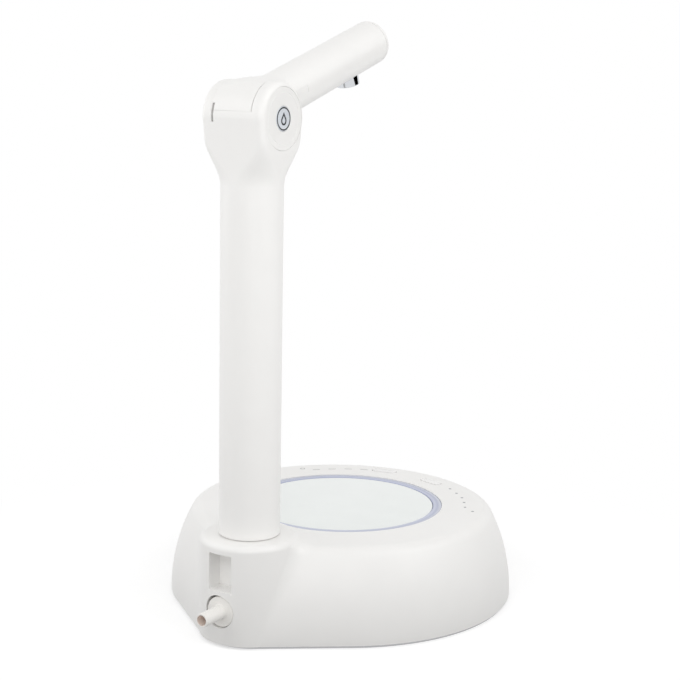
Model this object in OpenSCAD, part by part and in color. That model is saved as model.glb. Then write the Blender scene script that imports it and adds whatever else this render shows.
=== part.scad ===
// Folding desktop water dispenser pump: a teardrop base with a lit cup tray,
// a column at the back and a hinged spout arm that folds into the column.
// Lengths are in millimetres and angles in degrees. +Z is up, -Y is the front.

/* [Base] */
// Radius of the round front of the base
base_r = 85; // [75:0.5:95]
// Distance from the column back to the centre of the base's narrow end
tail_setback = 4.9; // [4:0.1:6]
// Height of the base above its bottom rim
base_h = 42.5; // [40:0.5:50]
// Radius of the round between side and top
shoulder_r = 7; // [5:0.5:9]
// Thickness of the housing wall
wall = 2.4; // [2:0.1:2.8]
// Height of the rim above the table
foot_lift = 1.2; // [0.8:0.1:2]
// Radius of the rubber feet
foot_r = 7; // [5:0.5:8]

/* [Tray] */
// Distance from the rim to the light ring, seen from above
ring_inset = 35; // [34:0.5:39]
// Width of the light ring
ring_w = 4.3; // [3.5:0.1:5]
// Depth of the tray below the top of the base
tray_drop = 0.5; // [0.2:0.1:1]

/* [Touch panel] */
// Distance from the rim to the row of marks, seen from above
mark_inset = 24; // [22:0.5:26]
// Radius of one dot
dot_r = 0.75; // [0.5:0.05:1]
// Length of one dash
dash_l = 4; // [2:0.1:5]
// Width of one dash
dash_w = 0.9; // [0.6:0.1:1.4]
// Length of a touch key
key_l = 13; // [9:0.5:16]
// Width of a touch key
key_w = 4.4; // [3.5:0.1:5.5]

/* [Column] */
// Distance from the tray centre to the column
column_y = 78.4; // [76:0.1:80]
// Radius of the column
column_r = 14; // [13.8:0.05:14.4]
// Radius of the boss that the column stands on
boss_r = 22.8; // [22:0.1:24]
// Height of the boss above the base top
boss_rise = 4; // [3.5:0.5:6]
// Height of the hinge axis above the rim
hinge_z = 234.5; // [220:0.5:250]

/* [Hinge head] */
// Radius of the fork's cheeks
head_r = 16.3; // [16.2:0.05:17]
// Half of the fork's width
head_half_w = 16.4; // [16.2:0.1:17.5]
// Round on the edges of the fork
head_edge_r = 3; // [2:0.1:3.2]
// Length over which the fork runs out into the column
neck_l = 29.5; // [26:0.5:34]
// Radius of the round covers
cap_r = 13.1; // [12.8:0.05:13.2]
// Thickness of the round covers
cap_t = 2.4; // [2:0.1:2.6]
// Radius of the inlay on the right cover
badge_r = 5.4; // [4.5:0.1:6]
// Radius of the hinge pins
pin_r = 3; // [2.5:0.1:3.2]

/* [Arm] */
// Radius of the arm tube
arm_r = 10.5; // [10.3:0.05:10.5]
// Length of the arm from the hinge axis
arm_l = 103; // [95:0.5:106]
// Height of the arm's axis above the hinge axis
arm_rise = 3.5; // [3.2:0.05:3.6]
// Angle of the raised arm above the horizontal
arm_tilt = 17.8; // [10:0.1:22]
// Wall of the arm tube
arm_wall = 1.8; // [1.5:0.1:2.2]
// Length of the end cap
end_cap_l = 3; // [2.6:0.1:4]
// Distance from the hinge axis to the outlet
nozzle_s = 77; // [70:0.5:80]
// Radius of the chrome outlet
nozzle_r = 5.75; // [5.5:0.05:6]
// Length of the outlet below the arm
nozzle_drop = 3; // [2:0.1:3.5]

/* [Inlet and charging] */
// Radius of the inlet pipe
inlet_pipe_r = 3.2; // [2.8:0.1:3.3]
// Radius of the inlet pipe's bore
inlet_bore_r = 2.1; // [1.6:0.1:2.3]
// Length of the inlet pipe outside the boss
inlet_out = 12.6; // [9:0.1:16]
// Height of the inlet axis above the rim
inlet_z = 15; // [14.5:0.1:15.5]
// Radius of the inlet's round flange
inlet_flange_r = 7.25; // [6.5:0.05:7.4]
// Width of the charging recess
recess_w = 12.4; // [11:0.1:13]
// Height of the charging recess
recess_h = 17.3; // [15:0.1:17.5]
// Depth of the charging recess in the boss
recess_d = 9; // [8.5:0.1:9]

/* [Fits] */
// Radial clearance of a running fit
run_gap = 0.05; // [0.02:0.01:0.08]
// Clearance between pieces that are pushed or laid together
lay_gap = 0.15; // [0.1:0.05:0.25]
// Clearance beside pieces that swing past each other
swing_gap = 0.4; // [0.35:0.05:0.5]

/* [Hidden] */
$fn = 96;
// Reach of a cut past the face that it goes through
cut = 1;

// Plan of the base: two rounds and the flanks that touch both, square to a 3-4-5 slope
tail_y = column_y - tail_setback;
flank_n = [0.6, 0.8];
flank_t = [-0.8, 0.6];
tail_r = base_r - tail_y * flank_n.y;
flank_l = tail_y * flank_t.y;

// Side of the base: an arc that is upright at the rim and meets the shoulder on an 8-15-17 slope
shoulder_z = base_h - shoulder_r;
side_arc_r = shoulder_r + shoulder_z * 17 / 8;
shoulder_x = shoulder_z * 15 / 8 - side_arc_r;
touch_z = side_arc_r * 8 / 17;

// Outer ends of the part along Y, and its middle
boss_back_y = column_y + boss_r;
pipe_end_y = boss_back_y + inlet_out;
mid_y = (pipe_end_y - base_r) / 2;

// Boss on the base
boss_top = base_h + boss_rise;
boss_edge_r = 3;
gusset_r = 8;
gusset_sink = 0.06;
gusset_levels = 12;
gusset_arc = 7;
gusset_core = 3;
gusset_step = 0.4;

// Floor of the base
plate_t = 2.2;
plate_z = 0.4;
plate_top = plate_z + plate_t;
foot_seat = 0.8;
foot_ring_r = base_r - 15.6;
foot_angles = [-50, 57];
foot_places = [for (side = [-1, 1], a = foot_angles) foot_ring_r * [side * cos(a), sin(a)]];
post_r = 3.6;
post_ring_r = base_r - 18;
post_angles = [-29.5, 29.5];
tail_post = [16.5, column_y + 1.6];
post_places = [
    for (side = [-1, 1], a = post_angles) post_ring_r * [side * cos(a), sin(a)],
    for (side = [-1, 1]) [side * tail_post.x, tail_post.y]
];
screw_r = 1.5;
screw_core_r = 1.25;
screw_head_r = 2.8;
screw_head_h = 1.4;
screw_l = 10;

// Tray and light ring
ring_r = base_r - ring_inset;
tray_top = base_h - tray_drop;
tray_t = 2.7;
tray_floor = tray_top - tray_t;
ring_t = 1.8;
ring_floor = tray_top - ring_t;
ring_ledge = 1.1;
guide_w = 1.4;
led_h = 0.6;
led_w = 2;
led_count = 24;
led_board_t = 1;
led_seat = tray_floor - 2.1;
tray_r = ring_r - ring_w - lay_gap;
groove_in_r = tray_r - 1.6;
groove_out_r = ring_r - ring_ledge;
tray_seat_t = 2.2;
tray_wall = 2.2;

// Touch panel: angles are measured from the front, plus towards +X
board_t = 1.1;
touch_in_r = ring_r + lay_gap + tray_wall + 0.8;
touch_out_r = base_r - 18;
touch_span = 76;
mark_row_r = base_r - mark_inset;
key_angles = [11.4, -17.5];
key_rows = [mark_row_r + 2, mark_row_r];
// Marks: angle from the front and distance out from their row
dash_places = [[46, -0.5], [37.8, -0.1], [29.6, 0.4], [21.6, 0.8]];
dot_places = [[-32.3, 0.9], [-40.1, 0.6], [-47.8, 0.9], [-55.5, 0.5], [-63.2, 0.6], [-68.9, 4.8]];
symbol_place = [52.2, 3];
symbol_r = 1.4;

// Things inside the base
cell_r = 9.15;
cell_l = 65;
cell_x = -36;
holder_wall = 1.6;
holder_h = 12;
holder_floor = 1.2;
cell_end_gap = 2;
cell_tip_r = 3;
cell_tip_l = 1.2;
cell_z = plate_top + holder_floor + cell_r;
main_board_w = 36;
main_board_l = 50;
main_board_t = 1.6;
main_board_x = 40;
main_board_z = 9;
board_post_r = 2.6;
board_screw_r = 0.9;
board_hole_inset = 4;
board_screw_l = 5;
board_head_r = 1.9;
board_head_h = 1.2;
board_holes = [for (x = [-1, 1], y = [-1, 1])
    [main_board_x + x * (main_board_w / 2 - board_hole_inset), y * (main_board_l / 2 - board_hole_inset)]];
// Round and square components on the main board: x, y, radius, height and x, y, width, length, height
board_cans = [[-6, 14, 4, 11], [5, 14, 5.2, 5]];
board_blocks = [[-4.5, -4, 9, 9, 1.4], [-12, -7, 5, 6, 1.6], [9, -6, 5, 12, 6], [-6, -22, 12, 5, 6]];
motor_r = 12.2;
motor_l = 32;
motor_y = -4;
motor_boss_r = 4;
motor_boss_l = 1.6;
motor_tab_x = 7;
motor_tab_w = 2.4;
motor_tab_t = 0.6;
motor_tab_l = 4;
pump_z = 17;
pump_r = 13.5;
pump_l = 22;
pump_waist = 0.8;
// Flanges of the pump head: distance from the motor and thickness
pump_flanges = [[0, 3], [8, 4], [17, 5]];
port_depth_in = 6;
pump_y = motor_y + motor_l;
pump_back = pump_y + pump_l;
port_x = 8;
port_l = 9;
saddle_w = 37;
saddle_l = 20;
saddle_y = motor_y + 6;
strap_t = 1.6;
strap_l = 10;
strap_foot = 7;
strap_screw_x = saddle_w / 2 - 2;
strap_screw_l = 6;
strap_core_l = 7;

// Hoses
hose_sides = 12;
suction_wall = 1.4;
hose_end_gap = 1;
hose_straight = 12;
riser_r = 2.35;
riser_bore_r = 1.65;
barb_r = riser_bore_r - run_gap;
riser_bend = 5;
riser_end = 14;

// Inlet fitting
inlet_pad_r = 10.4;
inlet_pad_y = boss_back_y - 6.2;
inlet_face_y = boss_back_y - 1;
inlet_hole_r = inlet_flange_r + 3 * lay_gap;
inlet_collar_r = 9.4;
inlet_collar_t = 1.6;
inlet_seal_t = 1;
inlet_barb_l = 8.4;
inlet_tail_y = inlet_pad_y - inlet_seal_t - inlet_collar_t;
rib_t = 1.6;
rib_w = 3;
rib_x = inlet_pipe_r + suction_wall + rib_w;

// Charging recess and its socket
recess_rib = 2;
recess_z = inlet_z + inlet_hole_r + recess_rib;
recess_floor_y = boss_back_y - recess_d;
recess_wall = 1.4;
inlet_flat = recess_z - recess_wall - lay_gap - inlet_z;
port_off = -2.2;
port_w = 3.2;
port_h = 9;
port_depth = 6.9;
port_wall = 0.35;
tongue_t = 0.7;
tongue_inset = 1.2;
charge_board_t = 1;
charge_board_inset = 1;
port_mid_z = recess_z + recess_h / 2;

// Foot of the column: a D-shaped tenon in a socket
tenon_r = 11;
tenon_flat = 4.5;
tenon_bottom = 24.2;
socket_wall = 1.6;
socket_floor_t = 2.2;
socket_r = tenon_r + lay_gap;
hose_hole_x = -4.5;
hose_hole_u = -5.5;
hose_hole_r = riser_r + 0.5;
column_screw_u = 1.5;
column_screw_x = 7;
column_screw_l = 10;
column_head_r = 2.4;
foot_groove_h = 0.4;
foot_groove_d = 0.9;

// Channel in the column and cavity in the head
slot_half = arm_r + 0.45;
channel_l = arm_l + 1.5;
lip_u = -7;
lip_sweep_r = 40;
lip_sweep_l = 42;
lip_foot_r = 20;
lower_hollow_r = column_r - 2.8;
lower_hollow_z = boss_top + 6;
lower_cap = 4;
riser_low_z = lower_hollow_z + 16;
riser_high_z = lower_hollow_z + 42;
riser_top = 8;
riser_u = 10.7;
riser_hole_r = riser_r + lay_gap;
core_r = 14.2;
cavity_r = core_r + swing_gap;
cover_r = head_r - 0.4;
back_lip = 3.1;
cover_back_a = 14;
cover_front_a = 150;
neck_levels = 14;
neck_corner = 9;
neck_flat = 9;
neck_sink = 0.03;
neck_foot_r = column_r / cos(45 / neck_corner) + 0.01;

// Hinge
barrel_half = slot_half - 0.35;
pin_in_x = 4.6;
pin_head_r = 5;
pin_head_t = 0.8;
cap_face_x = head_half_w;
cap_back_x = cap_face_x - cap_t;
washer_r = 8.5;
washer_t = 0.8;
washer_seat_t = 0.6;
peg_r = 1.2;
peg_l = 1.8;
peg_row_r = 9.2;
peg_angles = [30, 150, 270];
cap_line_r = 10.2;
cap_line_w = 0.5;
cap_line_d = 0.3;
badge_t = 0.7;
hinge_bend_low = -9;
hinge_bend = [7, -4.5];
hinge_bend_s = 6.5;
hinge_lead = 3;
arm_hose_s = 16.1;
hose_slot_half = riser_r + 0.85;
hose_slot_front = -12.4;
hose_slot_high = arm_rise + riser_r + 0.75;

// Arm and outlet
arm_edge_r = 2.2;
arm_in_r = arm_r - arm_wall;
blend_s = 22;
blend_top = 4;
blend_low = 8;
blend_sink = 0.05;
plug_l = 5;
plug_wall = 1.6;
plug_sink = 0.01;
seam = 0.15;
nozzle_wall = 1.3;
nozzle_pad_r = 8;
nozzle_pad_z = -1.5;
nozzle_flange_r = 7.2;
nozzle_flange_t = 1;
nozzle_tip_z = arm_rise - arm_r - nozzle_drop;
insert_t = 3;
insert_recess = 0.6;
jet_r = 0.55;
jet_row_r = 2.3;
jet_count = 6;
elbow_r = 5;
elbow_gap = 1.2;
elbow_top_z = arm_rise + 4;
elbow_barb_l = 8;
elbow_bore_r = 1.1;

// Frames

// Puts a piece that is drawn about the tray centre and the rim into the part's frame
module place() {
    translate([0, -mid_y, foot_lift]) children();
}

// Frame on the column's axis, with z still measured from the rim
module on_column() {
    translate([0, column_y, 0]) children();
}

// Frame on the hinge axis, upright
module on_hinge() {
    translate([0, column_y, hinge_z]) children();
}

// Frame of the arm: -Y runs along the arm, the hinge axis is X
module on_arm() {
    on_hinge() rotate([-arm_tilt, 0, 0]) children();
}

// Helpers

// Cylinder along +Y from y
module rod_y(y, l, r) {
    translate([0, y, 0]) rotate([-90, 0, 0]) cylinder(h = l, r = r);
}

// Cylinder along +X from x
module rod_x(x, l, r) {
    translate([x, 0, 0]) rotate([0, 90, 0]) cylinder(h = l, r = r);
}

// Block between two corners
module block(low, high) {
    translate(low) cube(high - low);
}

// Flat ring
module washer(r_out, r_in, h) {
    difference() {
        cylinder(h = h, r = r_out);
        translate([0, 0, -cut]) cylinder(h = h + 2 * cut, r = r_in);
    }
}

// Direction at an angle from the front of the base
function front_dir(a) = [sin(a), -cos(a)];

// Puts a piece on a circle about the tray centre, turned with it
module on_ring(a, r) {
    rotate([0, 0, a]) translate([0, -r, 0]) children();
}

function unit(v) = v / norm(v);

// Rounds a route by cutting its corners twice
function rounded(p, times) =
    times == 0 ? p : rounded([
        p[0],
        for (i = [0 : len(p) - 2]) each [p[i] * 0.75 + p[i + 1] * 0.25, p[i] * 0.25 + p[i + 1] * 0.75],
        p[len(p) - 1]
    ], times - 1);

function along(p, i) = unit(p[min(i + 1, len(p) - 1)] - p[max(i - 1, 0)]);

function hose_ring(p, i, r, side) =
    let (a = unit(cross(along(p, i), side)), b = cross(along(p, i), a))
    [for (k = [0 : hose_sides - 1])
        p[i] + r * (cos(k * 360 / hose_sides) * a + sin(k * 360 / hose_sides) * b)];

// Hose with a bore along a route; side is a direction that the route never takes
module hose(route, r, bore_r, side) {
    p = rounded(route, 2);
    n = hose_sides;
    m = len(p);
    points = concat(
        [for (i = [0 : m - 1]) each hose_ring(p, i, r, side)],
        [for (i = [0 : m - 1]) each hose_ring(p, i, bore_r / cos(180 / hose_sides), side)]
    );
    function at(layer, i, k) = layer * m * n + i * n + k % n;
    faces = [
        for (i = [0 : m - 2], k = [0 : n - 1]) each [
            [at(0, i, k), at(0, i + 1, k), at(0, i + 1, k + 1)],
            [at(0, i, k), at(0, i + 1, k + 1), at(0, i, k + 1)],
            [at(1, i, k), at(1, i + 1, k + 1), at(1, i + 1, k)],
            [at(1, i, k), at(1, i, k + 1), at(1, i + 1, k + 1)]
        ],
        for (k = [0 : n - 1]) each [
            [at(0, 0, k), at(0, 0, k + 1), at(1, 0, k + 1)],
            [at(0, 0, k), at(1, 0, k + 1), at(1, 0, k)],
            [at(0, m - 1, k), at(1, m - 1, k + 1), at(0, m - 1, k + 1)],
            [at(0, m - 1, k), at(1, m - 1, k), at(1, m - 1, k + 1)]
        ]
    ];
    polyhedron(points = points, faces = faces);
}

// Screw with a pan head, head down at the origin, shank up
module screw(l, r, head_r, head_h) {
    cylinder(h = head_h, r = head_r);
    cylinder(h = head_h + l, r = r);
}

// Base

// Inset of the side at a height
function inset_at(z) = z < touch_z
    ? side_arc_r - sqrt(pow(side_arc_r, 2) - pow(z, 2))
    : -shoulder_x - sqrt(max(0, pow(shoulder_r, 2) - pow(z - shoulder_z, 2)));

// Half section of the base about a round of radius r, drawn in by t and open downwards by below
module side_profile(r, t, below) {
    intersection() {
        translate([r - side_arc_r, 0]) circle(r = side_arc_r - t);
        square([r, touch_z]);
    }
    intersection() {
        translate([r + shoulder_x, shoulder_z]) circle(r = shoulder_r - t);
        translate([0, shoulder_z]) square(r);
    }
    square([r + shoulder_x, base_h - t]);
    if (below > 0) translate([0, -below]) square([r - t, below]);
}

// Wedge that lies between the two flank normals behind a centre
module tail_wedge(y) {
    reach = 4 * base_r;
    translate([0, y, -base_h]) linear_extrude(3 * base_h)
        polygon([[0, 0], reach * flank_n, [-reach * flank_n.x, reach * flank_n.y]]);
}

// Teardrop body of the base, drawn in by t: a round front, a round tail and two flanks between
module base_body(t, below) {
    difference() {
        rotate_extrude() side_profile(base_r, t, below);
        tail_wedge(0);
    }
    intersection() {
        translate([0, tail_y, 0]) rotate_extrude() side_profile(tail_r, t, below);
        tail_wedge(tail_y);
    }
    for (side = [0, 1]) mirror([side, 0, 0]) intersection() {
        multmatrix([[flank_n.x, 0, flank_t.x, 0], [flank_n.y, 0, flank_t.y, 0], [0, 1, 0, 0], [0, 0, 0, 1]])
            linear_extrude(flank_l) side_profile(base_r, t, below);
        block([0, 0, -below - cut], [2 * base_r, 2 * base_r, base_h + cut]);
    }
}

// Plan of the base drawn in by t
module base_plan(t) {
    circle(r = base_r - t);
    translate([0, tail_y]) circle(r = tail_r - t);
    big = (base_r - t) * flank_n;
    small = (tail_r - t) * flank_n + [0, tail_y];
    polygon([big, small, [-small.x, small.y], [-big.x, big.y]]);
    translate([0, column_y]) circle(r = boss_r - t);
}

// Points of the soft blend between boss and flank at a height: an arc and a point inside
function boss_n() = column_y * flank_n.y;
function boss_t() = column_y * flank_t.y;
function flank_point(n, t) = n * flank_n + t * flank_t;
function gusset_ring(z) =
    let (
        q = base_r - inset_at(z) - gusset_sink - boss_n(),
        b = boss_r - gusset_sink,
        e = q + gusset_r,
        f = -sqrt(max(0, pow(b + gusset_r, 2) - e * e)),
        a0 = 270,
        a1 = atan2(-e, -f),
        a2 = a1 < 0 ? a1 + 360 : a1,
        core = [q - gusset_core, -sqrt(max(0, pow(b - gusset_core, 2) - pow(q - gusset_core, 2)))]
    )
    concat(
        [for (i = [0 : gusset_arc])
            let (a = a0 + (a2 - a0) * i / gusset_arc)
            flank_point(boss_n() + e + gusset_r * sin(a), boss_t() + f + gusset_r * cos(a))],
        [flank_point(boss_n() + core.x, boss_t() + core.y)]
    );
function gusset_low() =
    let (i = max(0, base_r - boss_n() - boss_r + gusset_step))
    sqrt(pow(side_arc_r, 2) - pow(side_arc_r - i, 2));

module gusset() {
    n = gusset_arc + 2;
    low = gusset_low();
    levels = [for (j = [0 : gusset_levels]) low + (base_h - gusset_sink - low) * j / gusset_levels];
    points = [for (z = levels) each [for (p = gusset_ring(z)) [p.x, p.y, z]]];
    m = len(levels);
    faces = concat(
        [for (k = [1 : n - 2]) [0, k, k + 1]],
        [for (k = [1 : n - 2]) [(m - 1) * n, (m - 1) * n + k + 1, (m - 1) * n + k]],
        [for (i = [0 : m - 2], k = [0 : n - 1])
            each [[i * n + k, (i + 1) * n + k, (i + 1) * n + (k + 1) % n],
                  [i * n + k, (i + 1) * n + (k + 1) % n, i * n + (k + 1) % n]]]
    );
    polyhedron(points = points, faces = faces);
}

module boss_outer() {
    on_column() rotate_extrude() {
        square([boss_r, boss_top - boss_edge_r]);
        square([boss_r - boss_edge_r, boss_top]);
        translate([boss_r - boss_edge_r, boss_top - boss_edge_r]) circle(r = boss_edge_r);
    }
}

module base_outer() {
    base_body(0, 0);
    boss_outer();
    for (side = [0, 1]) mirror([side, 0, 0]) gusset();
}

// Round with a flat at +u, as tenon and socket
module d_shape(r, flat, z, h) {
    intersection() {
        translate([0, 0, z]) cylinder(h = h, r = r);
        block([-2 * r, -2 * r, z], [2 * r, flat, z + h]);
    }
}

module touch_key(l, w, h) {
    translate([-l / 2 + w / 2, 0, 0]) cylinder(h = h, d = w);
    translate([l / 2 - w / 2, 0, 0]) cylinder(h = h, d = w);
    translate([-l / 2 + w / 2, -w / 2, 0]) cube([l - w, w, h]);
}

// Keys, dashes and dots in the top; grow widens them to make their holes
module keys(grow, z, h) {
    for (i = [0 : len(key_angles) - 1])
        on_ring(key_angles[i], key_rows[i])
            translate([0, 0, z]) touch_key(key_l + 2 * grow, key_w + 2 * grow, h);
}

module marks(grow, z, h) {
    for (p = dash_places)
        on_ring(p[0], mark_row_r + p[1]) translate([-dash_l / 2 - grow, -dash_w / 2 - grow, z])
            cube([dash_l + 2 * grow, dash_w + 2 * grow, h]);
    for (p = dot_places)
        on_ring(p[0], mark_row_r + p[1]) translate([0, 0, z]) cylinder(h = h, r = dot_r + grow);
    on_ring(symbol_place[0], mark_row_r + symbol_place[1]) translate([0, 0, z]) cylinder(h = h, r = symbol_r + grow);
}

module base_shell() {
    color("#F2F2F0") place() difference() {
        union() {
            difference() {
                base_outer();
                base_body(wall, 2 * cut);
                on_column() translate([0, 0, -cut]) cylinder(h = boss_top - wall + cut, r = boss_r - wall);
            }
            translate([0, 0, led_seat - tray_seat_t])
                cylinder(h = base_h - wall / 2 - led_seat + tray_seat_t, r = ring_r + lay_gap + tray_wall);
            intersection() {
                base_outer();
                union() {
                    for (p = post_places)
                        translate([p.x, p.y, plate_top]) cylinder(h = base_h, r = post_r);
                    on_column() d_shape(socket_r + socket_wall, tenon_flat + lay_gap + socket_wall,
                        tenon_bottom - socket_floor_t, boss_top - wall / 2 - tenon_bottom + socket_floor_t);
                    block([-recess_w / 2 - recess_wall, recess_floor_y - recess_wall, recess_z - recess_wall],
                          [recess_w / 2 + recess_wall, pipe_end_y, recess_z + recess_h + recess_wall]);
                    translate([0, 0, inlet_z]) rod_y(inlet_pad_y, inlet_out, inlet_pad_r);
                }
            }
        }
        // Tray seat, groove of the light ring and of its board
        translate([0, 0, tray_floor]) cylinder(h = base_h, r = groove_out_r);
        translate([0, 0, ring_floor]) cylinder(h = base_h, r = ring_r + lay_gap);
        translate([0, 0, led_seat]) washer(groove_out_r, groove_in_r, base_h);
        // Socket of the column
        on_column() d_shape(socket_r, tenon_flat + lay_gap, tenon_bottom, base_h);
        on_column() translate([hose_hole_x, hose_hole_u, 0]) cylinder(h = base_h, r = hose_hole_r);
        for (x = [-1, 1]) on_column() translate([x * column_screw_x, column_screw_u, 0])
            cylinder(h = base_h, r = screw_r + lay_gap);
        // Charging recess and the window for its socket
        block([-recess_w / 2, recess_floor_y, recess_z],
              [recess_w / 2, pipe_end_y, recess_z + recess_h]);
        translate([port_off, 0, 0])
            block([-port_w / 2 - run_gap, recess_floor_y - 2 * recess_wall, port_mid_z - port_h / 2 - run_gap],
                  [port_w / 2 + run_gap, recess_floor_y + cut, port_mid_z + port_h / 2 + run_gap]);
        // Hole of the inlet
        translate([0, 0, inlet_z]) rod_y(inlet_pad_y - cut, boss_r, inlet_hole_r);
        // Threaded cores of the floor's screws
        for (p = post_places) translate([p.x, p.y, -cut]) cylinder(h = screw_l + 3 * cut, r = screw_core_r);
        // Windows of keys and marks
        keys(run_gap, base_h - 2 * wall, 3 * wall);
        marks(run_gap, base_h - 2 * wall, 3 * wall);
    }
}

module bottom_plate() {
    color("#E4E4E2") place() difference() {
        union() {
            translate([0, 0, plate_z]) linear_extrude(plate_t) base_plan(wall + 2 * lay_gap);
            for (p = board_holes) translate([p.x, p.y, plate_z]) cylinder(h = main_board_z - plate_z, r = board_post_r);
            for (x = [-1, 1]) translate([x * rib_x, 0, 0])
                block([-rib_w / 2, inlet_tail_y - rib_t, plate_z], [rib_w / 2, inlet_tail_y, inlet_z]);
        }
        for (p = foot_places) translate([p.x, p.y, plate_z - cut])
            cylinder(h = cut + foot_seat, r = foot_r + lay_gap);
        for (p = post_places) translate([p.x, p.y, plate_z - cut]) {
            cylinder(h = 2 * cut + plate_t, r = screw_r + lay_gap);
            cylinder(h = cut + screw_head_h, r = screw_head_r + lay_gap);
        }
        for (p = board_holes) translate([p.x, p.y, plate_top]) cylinder(h = main_board_z, r = board_screw_r);
    }
}

module feet() {
    color("#3A3A3C") place() for (p = foot_places)
        translate([p.x, p.y, -foot_lift]) cylinder(h = foot_lift + plate_z + foot_seat, r = foot_r);
}

module plate_screws() {
    color("#B8BABD") place() for (p = post_places)
        translate([p.x, p.y, plate_z]) screw(screw_l - screw_head_h, screw_core_r, screw_head_r, screw_head_h);
}

module tray_plate() {
    color("#EDF0EE") place() translate([0, 0, tray_floor]) cylinder(h = tray_t, r = tray_r);
}

module light_ring() {
    guide_r = (ring_r - ring_w + groove_out_r) / 2;
    color("#C4C7D6") place() {
        translate([0, 0, ring_floor]) washer(ring_r, ring_r - ring_w, ring_t);
        translate([0, 0, led_seat + led_board_t + led_h])
            washer(guide_r + guide_w / 2, guide_r - guide_w / 2, ring_floor - led_seat - led_board_t - led_h);
    }
}

module led_board() {
    color("#2F6B45") place() translate([0, 0, led_seat])
        washer(groove_out_r - lay_gap, groove_in_r + lay_gap, led_board_t);
}

module ring_leds() {
    guide_r = (ring_r - ring_w + groove_out_r) / 2;
    color("#F6F2C8") place() for (i = [0 : led_count - 1])
        on_ring(i * 360 / led_count, guide_r) translate([-led_w / 2, -led_w / 2, led_seat + led_board_t])
            cube([led_w, led_w, led_h]);
}

module touch_board() {
    reach = 2 * touch_out_r;
    color("#2F6B45") place() translate([0, 0, base_h - wall - board_t]) difference() {
        intersection() {
            washer(touch_out_r, touch_in_r, board_t);
            linear_extrude(board_t) polygon([
                [0, 0], reach * front_dir(-touch_span), reach * front_dir(-touch_span / 2),
                reach * front_dir(touch_span / 2), reach * front_dir(touch_span)
            ]);
        }
        for (p = post_places) translate([p.x, p.y, -cut]) cylinder(h = board_t + 2 * cut, r = post_r + 2 * lay_gap);
    }
}

module key_pads() {
    color("#F6F6F5") place() keys(0, base_h - wall, wall);
}

module key_marks() {
    color("#8E9096") place() marks(0, base_h - wall, wall);
}

module battery_holder() {
    out_w = 2 * (cell_r + holder_wall + lay_gap);
    in_l = cell_l + 2 * cell_end_gap;
    out_l = in_l + 2 * holder_wall;
    in_r = cell_r + lay_gap;
    color("#2C2D30") place() translate([cell_x, 0, 0]) difference() {
        block([-out_w / 2, -out_l / 2, plate_top], [out_w / 2, out_l / 2, plate_top + holder_h]);
        translate([0, 0, cell_z]) rod_y(-in_l / 2, in_l, in_r);
        block([-in_r, -in_l / 2, cell_z], [in_r, in_l / 2, cell_z + holder_h]);
    }
}

module battery_cell() {
    color("#4B8FBF") place() translate([cell_x, 0, cell_z]) {
        rod_y(-cell_l / 2, cell_l, cell_r);
        rod_y(cell_l / 2 - cut, cut + cell_tip_l, cell_tip_r);
    }
}

module main_board() {
    color("#2F6B45") place() difference() {
        translate([main_board_x - main_board_w / 2, -main_board_l / 2, main_board_z])
            cube([main_board_w, main_board_l, main_board_t]);
        for (p = board_holes) translate([p.x, p.y, main_board_z - cut])
            cylinder(h = main_board_t + 2 * cut, r = board_screw_r + lay_gap);
    }
}

module board_parts() {
    top = main_board_z + main_board_t;
    color("#3B3D42") place() translate([main_board_x, 0, top]) {
        for (p = board_cans) translate([p[0], p[1], 0]) cylinder(h = p[3], r = p[2]);
        for (p = board_blocks) translate([p[0], p[1], 0]) cube([p[2], p[3], p[4]]);
    }
}

module board_screws() {
    color("#B8BABD") place() for (p = board_holes)
        translate([p.x, p.y, main_board_z + main_board_t + board_head_h]) mirror([0, 0, 1])
            screw(board_screw_l, board_screw_r - run_gap, board_head_r, board_head_h);
}

module pump_motor() {
    color("#AEB1B5") place() translate([0, 0, pump_z]) {
        rod_y(motor_y, motor_l, motor_r);
        rod_y(motor_y - motor_boss_l, motor_boss_l + cut, motor_boss_r);
        for (x = [-1, 1]) translate([x * motor_tab_x, 0, 0])
            block([-motor_tab_w / 2, motor_y - motor_tab_l, -motor_tab_t / 2], [motor_tab_w / 2, motor_y, motor_tab_t / 2]);
    }
}

module pump_head() {
    color("#1F2023") place() translate([0, 0, pump_z]) difference() {
        union() {
            rod_y(pump_y, pump_l, pump_r - pump_waist);
            for (f = pump_flanges) rod_y(pump_y + f[0], f[1], pump_r);
            translate([port_x, 0, inlet_z - pump_z]) rod_y(pump_back - cut, port_l, inlet_pipe_r - run_gap);
            translate([-port_x, 0, inlet_z - pump_z]) rod_y(pump_back - cut, port_l, barb_r);
        }
        translate([port_x, 0, inlet_z - pump_z]) rod_y(pump_back - port_depth_in, port_l + port_depth_in, inlet_bore_r);
        translate([-port_x, 0, inlet_z - pump_z]) rod_y(pump_back - port_depth_in, port_l + port_depth_in, elbow_bore_r);
    }
}

module pump_saddle() {
    color("#4A4B4E") place() difference() {
        block([-saddle_w / 2, saddle_y, plate_top], [saddle_w / 2, saddle_y + saddle_l, pump_z]);
        translate([0, 0, pump_z]) rod_y(saddle_y - cut, saddle_l + 2 * cut, motor_r + run_gap);
        for (x = [-1, 1]) translate([x * strap_screw_x, saddle_y + saddle_l / 2, pump_z - strap_core_l])
            cylinder(h = strap_core_l + cut, r = screw_core_r);
    }
}

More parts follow.
